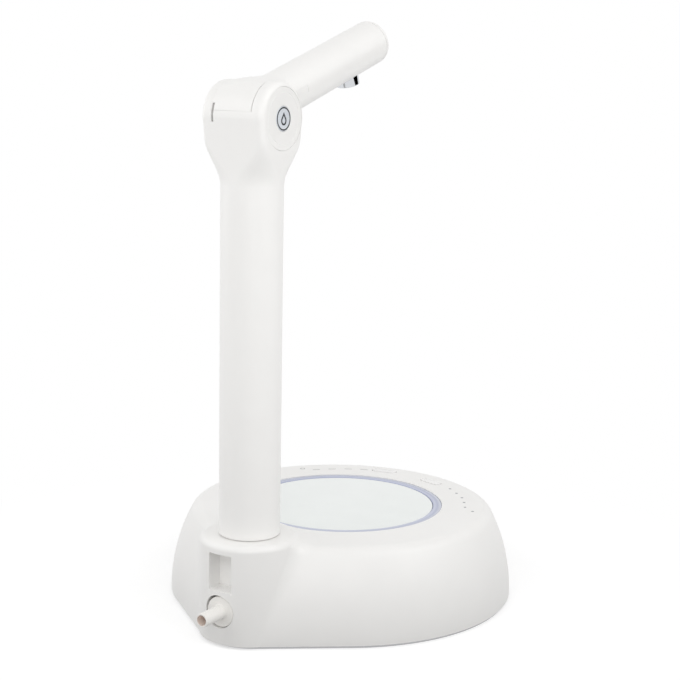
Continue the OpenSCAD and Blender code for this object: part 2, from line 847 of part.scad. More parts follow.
module pump_strap() {
    y = saddle_y + saddle_l / 2 - strap_l / 2;
    out_r = motor_r + run_gap + strap_t;
    color("#D9DADC") place() translate([0, 0, pump_z]) difference() {
        union() {
            intersection() {
                rod_y(y, strap_l, out_r);
                block([-out_r, y, 0], [out_r, y + strap_l, out_r]);
            }
            block([-saddle_w / 2 - strap_foot / 2, y, 0], [saddle_w / 2 + strap_foot / 2, y + strap_l, strap_t]);
        }
        rod_y(y - cut, strap_l + 2 * cut, motor_r + run_gap);
        for (x = [-1, 1]) translate([x * strap_screw_x, y + strap_l / 2, -cut])
            cylinder(h = strap_t + 2 * cut, r = screw_r + run_gap);
    }
}

module strap_screws() {
    color("#B8BABD") place() for (x = [-1, 1])
        translate([x * strap_screw_x, saddle_y + saddle_l / 2, pump_z + strap_t + screw_head_h])
            mirror([0, 0, 1]) screw(strap_screw_l, screw_core_r - run_gap, board_head_r, screw_head_h);
}

// Round collar with a flat on top that clears the recess
module inlet_disc(y, l) {
    intersection() {
        rod_y(y, l, inlet_collar_r);
        block([-inlet_collar_r, y, -inlet_collar_r], [inlet_collar_r, y + l, inlet_flat]);
    }
}

module inlet_fitting() {
    color("#E9E9E6") place() translate([0, 0, inlet_z]) difference() {
        union() {
            rod_y(inlet_tail_y - inlet_barb_l, pipe_end_y - inlet_tail_y + inlet_barb_l, inlet_pipe_r);
            inlet_disc(inlet_tail_y, inlet_collar_t);
            rod_y(inlet_tail_y, inlet_face_y - inlet_tail_y, inlet_flange_r);
        }
        rod_y(inlet_tail_y - inlet_barb_l - cut, inlet_out + 4 * boss_r, inlet_bore_r);
    }
}

module inlet_seal() {
    color("#2A2A2C") place() translate([0, 0, inlet_z]) difference() {
        inlet_disc(inlet_pad_y - inlet_seal_t, inlet_seal_t);
        rod_y(inlet_pad_y - inlet_seal_t - cut, inlet_seal_t + 2 * cut, inlet_flange_r + run_gap);
    }
}

module suction_hose() {
    start = inlet_tail_y - hose_end_gap;
    color("#DCE3E4") place() hose([
        [0, start, inlet_z], [0, start - hose_straight, inlet_z], [port_x, start - 2 * hose_straight, inlet_z],
        [port_x, pump_back + hose_straight, inlet_z], [port_x, pump_back + hose_end_gap, inlet_z]
    ], inlet_pipe_r + suction_wall, inlet_pipe_r + run_gap, [0, 0, 1]);
}

module charge_socket() {
    y = recess_floor_y - port_depth;
    color("#C2C4C8") place() translate([port_off, 0, 0]) difference() {
        block([-port_w / 2, y, port_mid_z - port_h / 2], [port_w / 2, recess_floor_y, port_mid_z + port_h / 2]);
        block([-port_w / 2 + port_wall, y + tongue_inset, port_mid_z - port_h / 2 + port_wall],
              [port_w / 2 - port_wall, recess_floor_y + cut, port_mid_z + port_h / 2 - port_wall]);
    }
    color("#1D1E20") place() translate([port_off, 0, port_mid_z])
        block([-tongue_t / 2, y + tongue_inset / 2, tongue_inset - port_h / 2],
              [tongue_t / 2, recess_floor_y - tongue_inset, port_h / 2 - tongue_inset]);
}

module charge_board() {
    color("#2F6B45") place() translate([port_off, 0, 0])
        block([port_w / 2, recess_floor_y - port_depth, recess_z + charge_board_inset],
              [port_w / 2 + charge_board_t, recess_floor_y - recess_wall - lay_gap, recess_z + recess_h - charge_board_inset]);
}

// Column

// Section of the neck at a height above the hinge axis: a square with round corners
function neck_step(w, flat) = let (s = min(1, max(0, (w + neck_l) / (neck_l - flat)))) s * s * (3 - 2 * s);
function neck_between(low, high, s) = low + (high - neck_sink - low) * s;
function neck_half_x(w) = neck_between(neck_foot_r, head_half_w, neck_step(w, neck_flat));
function neck_half_y(w) = neck_between(neck_foot_r, head_r, pow((w + neck_l) / neck_l, 2));
function neck_corner_r(w) = neck_between(neck_foot_r, head_edge_r, neck_step(w, neck_flat));
function neck_ring(w) =
    let (c = neck_corner_r(w), x = neck_half_x(w) - c, y = neck_half_y(w) - c)
    [for (q = [0 : 3], k = [0 : neck_corner])
        let (a = 90 * (q + k / neck_corner), sx = (q == 0 || q == 3) ? 1 : -1, sy = q < 2 ? 1 : -1)
        [sx * x + c * cos(a), sy * y + c * sin(a), w]];

module neck() {
    levels = [for (j = [0 : neck_levels]) -neck_l * (1 - j / neck_levels)];
    n = 4 * (neck_corner + 1);
    m = len(levels);
    points = [for (w = levels) each neck_ring(w)];
    faces = concat(
        [[for (k = [0 : n - 1]) k]],
        [[for (k = [0 : n - 1]) m * n - 1 - k]],
        [for (i = [0 : m - 2], k = [0 : n - 1])
            each [[i * n + k, (i + 1) * n + k, (i + 1) * n + (k + 1) % n],
                  [i * n + k, (i + 1) * n + (k + 1) % n, i * n + (k + 1) % n]]]
    );
    polyhedron(points = points, faces = faces);
}

// Round drum of the fork about the hinge axis
module drum() {
    rotate([0, 90, 0]) rotate_extrude() {
        translate([0, -head_half_w]) square([head_r - head_edge_r, 2 * head_half_w]);
        translate([0, -head_half_w + head_edge_r]) square([head_r, 2 * (head_half_w - head_edge_r)]);
        for (s = [-1, 1]) translate([head_r - head_edge_r, s * (head_half_w - head_edge_r)])
            circle(r = head_edge_r);
    }
}

// What the swinging arm needs open: the slot between the cheeks, the channel and the barrel's cavity
module arm_room() {
    reach = 4 * column_r;
    translate([0, -arm_rise, -channel_l]) linear_extrude(channel_l) {
        circle(r = slot_half);
        translate([-slot_half, -reach]) square([2 * slot_half, reach]);
    }
    block([-slot_half, -reach, -cut], [slot_half, 0, reach]);
    block([-slot_half, -cut, back_lip], [slot_half, reach, reach]);
    rod_x(-slot_half, 2 * slot_half, cavity_r);
    rotate([90, 0, 90]) linear_extrude(2 * reach, center = true) {
        translate([lip_u - lip_sweep_r, -lip_sweep_l]) circle(r = lip_sweep_r);
        translate([lip_u - lip_foot_r, -channel_l]) circle(r = lip_foot_r);
        translate([lip_u - lip_foot_r, -channel_l]) square([lip_foot_r, channel_l - lip_sweep_l]);
    }
}

module column() {
    color("#F4F4F2") place() difference() {
        union() {
            on_column() translate([0, 0, boss_top]) cylinder(h = hinge_z - neck_l - boss_top, r = column_r);
            on_hinge() neck();
            on_hinge() drum();
            on_column() d_shape(tenon_r, tenon_flat, tenon_bottom, boss_top - tenon_bottom + cut);
        }
        on_hinge() arm_room();
        // Shadow line round the foot
        on_column() translate([0, 0, boss_top - cut])
            washer(column_r + cut, column_r - foot_groove_d, foot_groove_h + cut);
        // Hollow, hose holes and screw cores
        on_column() translate([0, 0, lower_hollow_z])
            cylinder(h = hinge_z - channel_l - lip_foot_r + lower_cap - lower_hollow_z, r = lower_hollow_r);
        on_column() translate([0, riser_u, riser_low_z]) cylinder(h = hinge_z - riser_top - riser_low_z, r = riser_hole_r);
        on_column() block([-riser_hole_r, 0, riser_low_z], [riser_hole_r, riser_u, riser_high_z]);
        on_column() translate([hose_hole_x, hose_hole_u, 0]) cylinder(h = lower_hollow_z + cut, r = hose_hole_r);
        for (x = [-1, 1]) on_column() translate([x * column_screw_x, column_screw_u, tenon_bottom - cut])
            cylinder(h = column_screw_l + 2 * cut, r = screw_core_r);
        // Seats of the covers, their pegs and the pins
        for (side = [0, 1]) on_hinge() mirror([side, 0, 0]) {
            rod_x(cap_back_x, cap_t + cut, cap_r + lay_gap);
            rod_x(cap_back_x - pin_head_t, pin_head_t + cut, pin_head_r + run_gap);
            rod_x(0, head_half_w, pin_r + run_gap);
            for (a = peg_angles) rotate([a, 0, 0]) translate([0, peg_row_r, 0])
                rod_x(cap_back_x - peg_l - lay_gap, peg_l + cut, peg_r + run_gap);
        }
    }
}

module column_screws() {
    color("#B8BABD") place() for (x = [-1, 1])
        on_column() translate([x * column_screw_x, column_screw_u, tenon_bottom - socket_floor_t - screw_head_h])
            screw(column_screw_l, screw_core_r - run_gap, column_head_r, screw_head_h);
}

module riser_hose() {
    u = column_y + riser_u;
    hole = [hose_hole_x, column_y + hose_hole_u];
    color("#DCE3E4") place() hose([
        [-port_x, pump_back + hose_end_gap, inlet_z], [-port_x, pump_back + hose_straight, inlet_z],
        [hole.x, hole.y - riser_bend, inlet_z], [hole.x, hole.y, inlet_z + riser_r], [hole.x, hole.y, tenon_bottom],
        [hole.x, hole.y, lower_hollow_z], [hole.x, hole.y, lower_hollow_z + riser_bend],
        [0, u, riser_high_z - riser_bend], [0, u, riser_high_z], [0, u, hinge_z - riser_end]
    ], riser_r, riser_bore_r, [1, 0.2, 0]);
}

// Point at a distance along the arm and a height over the hinge axis, in the hinge's upright frame
function in_arm(s, h) = [0, h * sin(arm_tilt) - s * cos(arm_tilt), h * cos(arm_tilt) + s * sin(arm_tilt)];

module hinge_hose() {
    color("#DCE3E4") place() on_hinge() hose([
        [0, riser_u, seam - riser_end], [0, riser_u, hinge_bend_low], [0, hinge_bend.x, hinge_bend.y], [0, 0, 0],
        in_arm(hinge_bend_s, 0), in_arm(arm_hose_s - hinge_lead, arm_rise), in_arm(arm_hose_s - seam, arm_rise)
    ], riser_r, riser_bore_r, [1, 0, 0]);
}

module hinge_pins() {
    color("#B4B7BB") place() for (side = [0, 1]) on_hinge() mirror([side, 0, 0]) {
        rod_x(pin_in_x, cap_back_x - pin_in_x, pin_r);
        rod_x(cap_back_x - pin_head_t, pin_head_t, pin_head_r);
    }
}

module friction_washers() {
    color("#DADBD6") place() for (side = [0, 1]) on_hinge() mirror([side, 0, 0])
        translate([slot_half - washer_t, 0, 0]) rotate([0, 90, 0])
            washer(washer_r, pin_r + run_gap, washer_t);
}

// Round cover on +X with pegs and a fine line on its face
module hinge_cover() {
    difference() {
        union() {
            rod_x(cap_back_x, cap_t, cap_r);
            for (a = peg_angles) rotate([a, 0, 0]) translate([0, peg_row_r, 0])
                rod_x(cap_back_x - peg_l, peg_l + cut, peg_r);
        }
        translate([cap_face_x - cap_line_d, 0, 0]) rotate([0, 90, 0])
            washer(cap_line_r + cap_line_w / 2, cap_line_r - cap_line_w / 2, cap_line_d + cut);
        children();
    }
}

module hinge_cap_right() {
    color("#F0F0EE") place() on_hinge() mirror([1, 0, 0]) hinge_cover()
        rod_x(cap_face_x - badge_t, badge_t + cut, badge_r + run_gap);
}

module hinge_cap_left() {
    color("#F0F0EE") place() on_hinge() hinge_cover();
}

module hinge_badge() {
    color("#B9C3D2") place() on_hinge() mirror([1, 0, 0]) rod_x(cap_face_x - badge_t, badge_t, badge_r);
}

// Arm

// Upper part of the barrel's skin as a wedge of a disc
module cover_wedge(r, h, a0, a1) {
    reach = 2 * r;
    mid = (a0 + a1) / 2;
    intersection() {
        rod_x(-h, 2 * h, r);
        rotate([90, 0, 90]) linear_extrude(2 * h, center = true) polygon([
            [0, 0], reach * [cos(a0), sin(a0)], reach * [cos(mid), sin(mid)], reach * [cos(a1), sin(a1)]
        ]);
    }
}

// Flat seat of the outlet inside the tube
module nozzle_pad() {
    translate([0, -nozzle_s, -2 * arm_r]) cylinder(h = 2 * arm_r + nozzle_pad_z, r = nozzle_pad_r);
}

module arm_shell() {
    tube_l = arm_l - end_cap_l - seam;
    color("#F4F4F2") place() on_arm() difference() {
        union() {
            rod_x(-barrel_half, 2 * barrel_half, core_r);
            rotate([arm_tilt, 0, 0]) cover_wedge(cover_r, barrel_half, cover_back_a, cover_front_a);
            translate([0, 0, arm_rise]) rod_y(-tube_l, tube_l, arm_r);
            hull() {
                intersection() {
                    rod_x(-barrel_half, 2 * barrel_half, cover_r - blend_sink, $fn = 64);
                    block([-barrel_half, -blend_top, blend_low], [barrel_half, cut, 2 * cover_r]);
                }
                translate([0, 0, arm_rise]) intersection() {
                    rod_y(-blend_s, cut, arm_r - blend_sink, $fn = 64);
                    block([-2 * arm_r, -blend_s, 0], [2 * arm_r, -blend_s + cut, 2 * arm_r]);
                }
            }
        }
        // Hollow of the tube, and the slot that the hose swings in
        difference() {
            translate([0, 0, arm_rise]) rod_y(-tube_l - cut, tube_l + cut + hose_slot_front + lay_gap, arm_in_r);
            nozzle_pad();
        }
        rotate([90, 0, 90]) linear_extrude(2 * hose_slot_half, center = true) polygon([
            [hose_slot_front, hose_slot_high], [core_r + cut, 0],
            [core_r + cut, -core_r - cut], [hose_slot_front, -core_r - cut]
        ]);
        // Bores for the pins and seats for the washers
        for (side = [0, 1]) mirror([side, 0, 0]) {
            rod_x(pin_in_x - swing_gap, barrel_half, pin_r + run_gap);
            rod_x(barrel_half - washer_seat_t, barrel_half, washer_r + swing_gap);
        }
        translate([0, -nozzle_s, -2 * arm_r]) cylinder(h = 2 * arm_r, r = nozzle_r + run_gap);
    }
}

module arm_end_cap() {
    shell_y = -(arm_l - end_cap_l - seam);
    color("#F2F2F0") place() on_arm() translate([0, 0, arm_rise]) {
        translate([0, -arm_l + end_cap_l, 0]) rotate([90, 0, 0]) rotate_extrude() {
            square([arm_r, end_cap_l - arm_edge_r]);
            square([arm_r - arm_edge_r, end_cap_l]);
            translate([arm_r - arm_edge_r, end_cap_l - arm_edge_r]) intersection() {
                circle(r = arm_edge_r);
                square(arm_edge_r);
            }
        }
        rotate([-90, 0, 0]) translate([0, 0, shell_y - seam - plug_sink])
            washer(arm_in_r - run_gap, arm_in_r - run_gap - plug_wall, plug_l);
    }
}

module nozzle_sleeve() {
    top = nozzle_pad_z + nozzle_flange_t;
    color("#C9CDD2") place() on_arm() translate([0, -nozzle_s, 0]) difference() {
        union() {
            translate([0, 0, nozzle_tip_z]) cylinder(h = top - nozzle_tip_z, r = nozzle_r);
            translate([0, 0, nozzle_pad_z]) cylinder(h = nozzle_flange_t, r = nozzle_flange_r);
        }
        translate([0, 0, nozzle_tip_z - cut])
            cylinder(h = top - nozzle_tip_z + 2 * cut, r = nozzle_r - nozzle_wall);
    }
}

module nozzle_insert() {
    color("#D8DADC") place() on_arm() translate([0, -nozzle_s, nozzle_tip_z + insert_recess]) difference() {
        cylinder(h = insert_t, r = nozzle_r - nozzle_wall);
        translate([0, 0, -cut]) cylinder(h = insert_t + 2 * cut, r = jet_r);
        for (i = [0 : jet_count - 1]) rotate([0, 0, i * 360 / jet_count]) translate([jet_row_r, 0, -cut])
            cylinder(h = insert_t + 2 * cut, r = jet_r);
    }
}

module nozzle_elbow() {
    low = nozzle_tip_z + insert_recess + insert_t + elbow_gap;
    color("#E6E6E3") place() on_arm() translate([0, -nozzle_s, 0]) difference() {
        union() {
            translate([0, 0, low]) cylinder(h = elbow_top_z - low, r = nozzle_r - nozzle_wall);
            translate([0, 0, nozzle_pad_z + nozzle_flange_t])
                cylinder(h = elbow_top_z - nozzle_pad_z - nozzle_flange_t, r = elbow_r);
            translate([0, 0, arm_rise]) rod_y(0, elbow_r + elbow_barb_l, barb_r);
        }
        translate([0, 0, low - cut]) cylinder(h = arm_rise - low + cut, r = riser_bore_r);
        translate([0, 0, arm_rise]) rod_y(0, elbow_r + elbow_barb_l + cut, elbow_bore_r);
    }
}

module arm_hose() {
    color("#DCE3E4") place() on_arm() hose([
        [0, -arm_hose_s, arm_rise], [0, -(arm_hose_s + nozzle_s) / 2, arm_rise],
        [0, -nozzle_s + elbow_r + hose_end_gap, arm_rise]
    ], riser_r, riser_bore_r, [1, 0, 0]);
}

base_shell();
bottom_plate();
feet();
plate_screws();
tray_plate();
light_ring();
led_board();
ring_leds();
touch_board();
key_pads();
key_marks();
battery_holder();
battery_cell();
main_board();
board_parts();
board_screws();
pump_motor();
pump_head();
pump_saddle();
pump_strap();
strap_screws();
inlet_fitting();
inlet_seal();
suction_hose();
charge_socket();
charge_board();
column();
column_screws();
riser_hose();
hinge_hose();
hinge_pins();
friction_washers();
hinge_cap_right();
hinge_cap_left();
hinge_badge();
arm_shell();
arm_end_cap();
nozzle_sleeve();
nozzle_insert();
nozzle_elbow();
arm_hose();
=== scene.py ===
"""Looks of a folding desktop water pump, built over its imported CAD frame.

Pieces are modelled in millimetres about the tray centre, the hinge or the arm, and settled into
the row frame in metres as the last step.
"""
import logging
import math
from collections.abc import Callable, Iterator, Sequence
from contextlib import contextmanager
from dataclasses import dataclass
from enum import Enum

import bpy
import numpy as np
from mathutils import Matrix, Vector


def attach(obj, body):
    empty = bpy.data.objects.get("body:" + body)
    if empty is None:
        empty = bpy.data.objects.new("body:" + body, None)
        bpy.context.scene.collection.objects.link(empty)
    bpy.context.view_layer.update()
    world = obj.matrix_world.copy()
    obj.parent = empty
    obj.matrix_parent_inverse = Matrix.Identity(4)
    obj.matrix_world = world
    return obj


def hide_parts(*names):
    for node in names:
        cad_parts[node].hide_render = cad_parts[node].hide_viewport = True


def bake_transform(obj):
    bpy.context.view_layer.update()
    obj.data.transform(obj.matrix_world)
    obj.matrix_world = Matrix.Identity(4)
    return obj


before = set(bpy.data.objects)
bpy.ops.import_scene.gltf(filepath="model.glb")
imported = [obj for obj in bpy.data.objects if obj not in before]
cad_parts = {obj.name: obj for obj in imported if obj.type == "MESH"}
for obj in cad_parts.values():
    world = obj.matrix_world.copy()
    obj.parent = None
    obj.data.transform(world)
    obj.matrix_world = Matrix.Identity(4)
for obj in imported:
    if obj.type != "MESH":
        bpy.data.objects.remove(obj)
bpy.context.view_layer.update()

LOG = logging.getLogger("pump")
MM = 0.001
# Distance under which two points are one, mm
SLIVER = 0.002
# Tray centre and rim in the row frame, mm
MID_Y = 14.4
FOOT_LIFT = 1.2
# Column and hinge about the tray centre, mm and degrees
COLUMN_Y = 78.4
HINGE_Z = 234.5
ARM_TILT = 17.8
TOP_Z = 42.5
BOSS_TOP = 46.5
# Slit between the barrel and the left cheek: across, back and up from the hinge axis, mm
SLIT_X = (9.2, 10.4)
SLIT_U = (12.0, 18.0)
SLIT_W = (-1.75, 6.3)

# Halvings of a ray that find the surface on it
HALVINGS = 44
# Noise values at the two ends of a mottle and of a grain, and the weight of the grain's bump
MOTTLE_ENDS = (0.35, 0.65)
GRAIN_ENDS = (0.3, 0.7)
BUMP_WEIGHT = 0.6
WHITE = (1.0, 1.0, 1.0, 1.0)

Point = tuple[float, float]
Place = tuple[float, float, float]
Piece = bpy.types.Object
Array = np.ndarray
Tree = bpy.types.NodeTree
Socket = bpy.types.NodeSocket


class Body(Enum):
    """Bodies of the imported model."""

    STAND = "stand"
    ARM = "arm"


class Axis(Enum):
    """Directions of a round piece, each as the turn that lays +Z along it."""

    X = (math.pi / 2, "Y")
    Y = (-math.pi / 2, "X")
    Z = (0.0, "Z")

    def turn(self) -> Matrix:
        """Turn that lays +Z along this direction."""
        return Matrix.Rotation(self.value[0], 4, self.value[1])


def on_tray() -> Matrix:
    """Frame about the tray centre, at the height of the rim."""
    return Matrix.Translation((0.0, -MID_Y, FOOT_LIFT))


def on_hinge() -> Matrix:
    """Upright frame on the hinge axis."""
    return on_tray() @ Matrix.Translation((0.0, COLUMN_Y, HINGE_Z))


def on_arm() -> Matrix:
    """Frame of the raised arm: -Y runs along the arm."""
    return on_hinge() @ Matrix.Rotation(math.radians(-ARM_TILT), 4, "X")


def sideways() -> Matrix:
    """Turn that lays +Z along +X, +X along +Y and +Y along +Z."""
    return Matrix(((0, 0, 1, 0), (1, 0, 0, 0), (0, 1, 0, 0), (0, 0, 0, 1)))


def oblong(left: float, right: float, low: float, high: float) -> list[Point]:
    """Outline with four square corners."""
    return [(left, low), (right, low), (right, high), (left, high)]


def arc(centre: Point, radius: float, start: float, stop: float, count: int) -> list[Point]:
    """Points in order along an arc, between two angles in radians."""
    return [(centre[0] + radius * math.cos(a), centre[1] + radius * math.sin(a))
            for a in np.linspace(start, stop, count)]


def side_slit() -> Piece:
    """Tool for the slit between the barrel and the left cheek, about the hinge axis."""
    return prism("slit_tool", oblong(*SLIT_X, *SLIT_U), *SLIT_W)


def pick(piece: Piece) -> None:
    """Selects one piece alone and makes it active.

    Args:
        piece: the piece.
    """
    bpy.ops.object.select_all(action="DESELECT")
    piece.select_set(True)
    bpy.context.view_layer.objects.active = piece


@contextmanager
def editing(piece: Piece) -> Iterator[None]:
    """Edit mode on one piece with everything in it selected.

    Args:
        piece: the piece to edit.
    """
    pick(piece)
    bpy.ops.object.mode_set(mode="EDIT")
    bpy.ops.mesh.select_all(action="SELECT")
    yield
    bpy.ops.object.mode_set(mode="OBJECT")


def primitive(name: str, add: Callable[..., object], **settings: object) -> Piece:
    """Adds a primitive with nothing else selected.

    Args:
        name: name of the new piece.
        add: the operator that adds it.
        settings: the operator's settings by name.

    Returns:
        The new piece.
    """
    bpy.ops.object.select_all(action="DESELECT")
    add(**settings)
    piece = bpy.context.active_object
    piece.name = name
    return piece


def close_up(piece: Piece) -> None:
    """Merges doubles, closes open ends and turns the faces outwards.

    Args:
        piece: the piece to close.
    """
    with editing(piece):
        bpy.ops.mesh.remove_doubles(threshold=SLIVER)
        bpy.ops.mesh.dissolve_degenerate(threshold=SLIVER)
        bpy.ops.mesh.select_all(action="SELECT")
        bpy.ops.mesh.fill_holes(sides=0)
        bpy.ops.mesh.select_all(action="SELECT")
        bpy.ops.mesh.normals_make_consistent(inside=False)


def laid_grid(name: str, rows: Array) -> Piece:
    """A grid primitive with its rows laid along given lines.

    Args:
        name: name of the new piece.
        rows: points as an array of rows, columns and xyz, mm.

    Returns:
        The new piece, still open at its edges.
    """
    piece = primitive(name, bpy.ops.mesh.primitive_grid_add, x_subdivisions=rows.shape[1] - 1,
                      y_subdivisions=rows.shape[0] - 1, size=1.0)
    piece.data.vertices.foreach_set("co", np.ascontiguousarray(rows, dtype=np.float32).ravel())
    piece.data.update()
    return piece


def turned(name: str, section: Sequence[Point], axis: Axis = Axis.Z, steps: int = 96) -> Piece:
    """A closed section spun round an axis through the origin.

    Args:
        name: name of the new piece.
        section: corners of the closed section as radius and place along the axis, mm.
        axis: the axis that it is turned about.
        steps: number of steps round.

    Returns:
        The new closed piece.
    """
    piece = primitive(name, bpy.ops.mesh.primitive_circle_add, vertices=len(section), radius=1.0,
                      fill_type="NOTHING")
    for vertex, (radius, along) in zip(piece.data.vertices, section):
        vertex.co = (radius, 0.0, along)
    with editing(piece):
        bpy.ops.mesh.spin(steps=steps, angle=2 * math.pi, center=(0, 0, 0), axis=(0, 0, 1))
    close_up(piece)
    piece.data.transform(axis.turn())
    return piece


def rounded(points: Sequence[Point], radii: Sequence[float], steps: int = 6) -> list[Point]:
    """A closed outline with round corners.

    Args:
        points: corners of the outline in order.
        radii: radius of the round at each corner; 0 keeps it sharp.
        steps: number of steps in each round.

    Returns:
        The finer outline.
    """
    outline: list[Point] = []
    count = len(points)
    for i, radius in enumerate(radii):
        here = Vector(points[i])
        if radius <= 0:
            outline.append(tuple(here))
            continue
        before = (Vector(points[i - 1]) - here).normalized()
        after = (Vector(points[(i + 1) % count]) - here).normalized()
        half = before.angle(after) / 2
        centre = here + (before + after).normalized() * (radius / math.sin(half))
        start = here + before * (radius / math.tan(half)) - centre
        end = here + after * (radius / math.tan(half)) - centre
        for step in range(steps + 1):
            outline.append(tuple(centre + start.slerp(end, step / steps) * radius))
    return outline


def rod(radius: float, low: Sequence[float], length: float, axis: Axis, vertices: int = 96) -> Piece:
    """A round bar used as a cutting tool.

    Args:
        radius: radius of the bar, mm.
        low: centre of its lower end, mm.
        length: its length along the axis, mm.
        axis: its direction.
        vertices: number of points round.

    Returns:
        The tool.
    """
    tool = primitive("rod_tool", bpy.ops.mesh.primitive_cylinder_add, vertices=vertices, radius=radius,
                     depth=length)
    tool.data.transform(Matrix.Translation((0, 0, length / 2)))
    tool.data.transform(Matrix.Translation(low) @ axis.turn())
    return tool


def prism(name: str, outline: Sequence[Point], low: float, high: float,
          frame_turn: Matrix | None = None) -> Piece:
    """An outline pushed out along +Z, then turned.

    Args:
        name: name of the new piece.
        outline: corners of the outline in order, mm.
        low: lower end, mm.
        high: upper end, mm.
        frame_turn: where the prism goes; None leaves it upright.

    Returns:
        The new closed piece.
    """
    piece = primitive(name, bpy.ops.mesh.primitive_circle_add, vertices=len(outline), radius=1.0,
                      fill_type="NGON")
    for vertex, (x, y) in zip(piece.data.vertices, outline):
        vertex.co = (x, y, low)
    with editing(piece):
        bpy.ops.mesh.extrude_region_move(TRANSFORM_OT_translate={"value": (0, 0, high - low)})
        bpy.ops.mesh.select_all(action="SELECT")
        bpy.ops.mesh.normals_make_consistent(inside=False)
    if frame_turn is not None:
        piece.data.transform(frame_turn)
    return piece


def as_one(name: str, parts: Sequence[Piece]) -> Piece:
    """Joins several parts into one piece.

    Args:
        name: name of the joined piece.
        parts: the parts; the first takes in the others.

    Returns:
        The joined piece.
    """
    pick(parts[0])
    for part in parts:
        part.select_set(True)
    bpy.ops.object.join()
    parts[0].name = name
    return parts[0]


def cut(piece: Piece, *tools: Piece) -> None:
    """Cuts tools out of a piece and puts the tools away.

    Args:
        piece: the piece that is cut.
        tools: closed pieces to cut with.
    """
    for tool in tools:
        step = piece.modifiers.new("cut", "BOOLEAN")
        step.operation = "DIFFERENCE"
        step.solver = "EXACT"
        step.object = tool
        pick(piece)
        bpy.ops.object.modifier_apply(modifier=step.name)
        bpy.data.objects.remove(tool)


def soften(piece: Piece, width: float, angle: float = 40.0, segments: int = 2) -> None:
    """Rounds the sharp edges of a piece.

    Args:
        piece: the piece to soften.
        width: width of the round, mm.
        angle: edges that turn by more than this are rounded, degrees.
        segments: steps in the round.
    """
    step = piece.modifiers.new("soften", "BEVEL")
    step.width = width
    step.segments = segments
    step.limit_method = "ANGLE"
    step.angle_limit = math.radians(angle)
    step.use_clamp_overlap = True
    pick(piece)
    bpy.ops.object.modifier_apply(modifier=step.name)


def settle(piece: Piece, place: Matrix, angle: float = 35.0) -> Piece:
    """Clears slivers off a finished piece, puts it into the row frame and shades it.

    Args:
        piece: the piece, in millimetres.
        place: the frame that it was drawn in.
        angle: edges that turn by more than this stay crisp, degrees.

    Returns:
        The same piece.
    """
    with editing(piece):
        bpy.ops.mesh.remove_doubles(threshold=SLIVER)
        bpy.ops.mesh.dissolve_degenerate(threshold=SLIVER)
    piece.data.transform(Matrix.Scale(MM, 4) @ place)
    piece.data.update()
    pick(piece)
    bpy.ops.object.shade_smooth_by_angle(angle=math.radians(angle))
    return piece


def dress(piece: Piece, finish: "Finish", slot: str, body: Body, *nodes: str) -> Piece:
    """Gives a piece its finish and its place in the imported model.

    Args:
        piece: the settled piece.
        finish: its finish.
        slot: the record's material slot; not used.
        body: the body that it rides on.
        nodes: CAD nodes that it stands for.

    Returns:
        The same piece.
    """
    piece.data.materials.clear()
    piece.data.materials.append(finish.material())
    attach(piece, body.value)
    if nodes:
        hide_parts(*nodes)
    LOG.info("%s: %d faces on %s", piece.name, len(piece.data.polygons), body.value)
    return piece


def second_finish(piece: Piece, finish: "Finish", wanted: Callable[[Vector], bool]) -> None:
    """Gives some faces of a dressed piece another finish.

    Args:
        piece: the dressed piece.
        finish: the other finish.
        wanted: tells from a face's centre, in metres, whether it changes.
    """
    piece.data.materials.append(finish.material())
    for face in piece.data.polygons:
        if wanted(face.center):
            face.material_index = 1


def linear(colour: str) -> tuple[float, float, float, float]:
    """Turns an sRGB hex colour to linear.

    Args:
        colour: the colour as # and six hex digits.

    Returns:
        Linear red, green, blue and alpha.
    """
    parts = [int(colour[i:i + 2], 16) / 255 for i in (1, 3, 5)]
    flat = [c / 12.92 if c <= 0.04045 else ((c + 0.055) / 1.055) ** 2.4 for c in parts]
    return flat[0], flat[1], flat[2], 1.0


def emptied(owner: bpy.types.Material | bpy.types.World) -> Tree:
    """Node tree of a material or a world, with its nodes cleared.

    Args:
        owner: the new material or world.

    Returns:
        The empty tree.
    """
    owner.use_nodes = True
    owner.node_tree.nodes.clear()
    return owner.node_tree


def node(tree: Tree, kind: str, settings: dict | None = None, **links: object) -> bpy.types.Node:
    """Adds one shader node.

    Args:
        tree: the node tree.
        kind: the node's type name.
        settings: its properties by name.
        links: its inputs by name, with _ for a space: an output socket to link or a plain value.

    Returns:
        The new node.
    """
    made = tree.nodes.new(kind)
    for key, value in (settings or {}).items():
        setattr(made, key, value)
    for key, value in links.items():
        numbered = key.startswith("in") and key[2:].isdigit()
        socket = made.inputs[int(key[2:]) if numbered else key.replace("_", " ")]
        if isinstance(value, Socket):
            tree.links.new(value, socket)
        else:
            socket.default_value = value
    return made


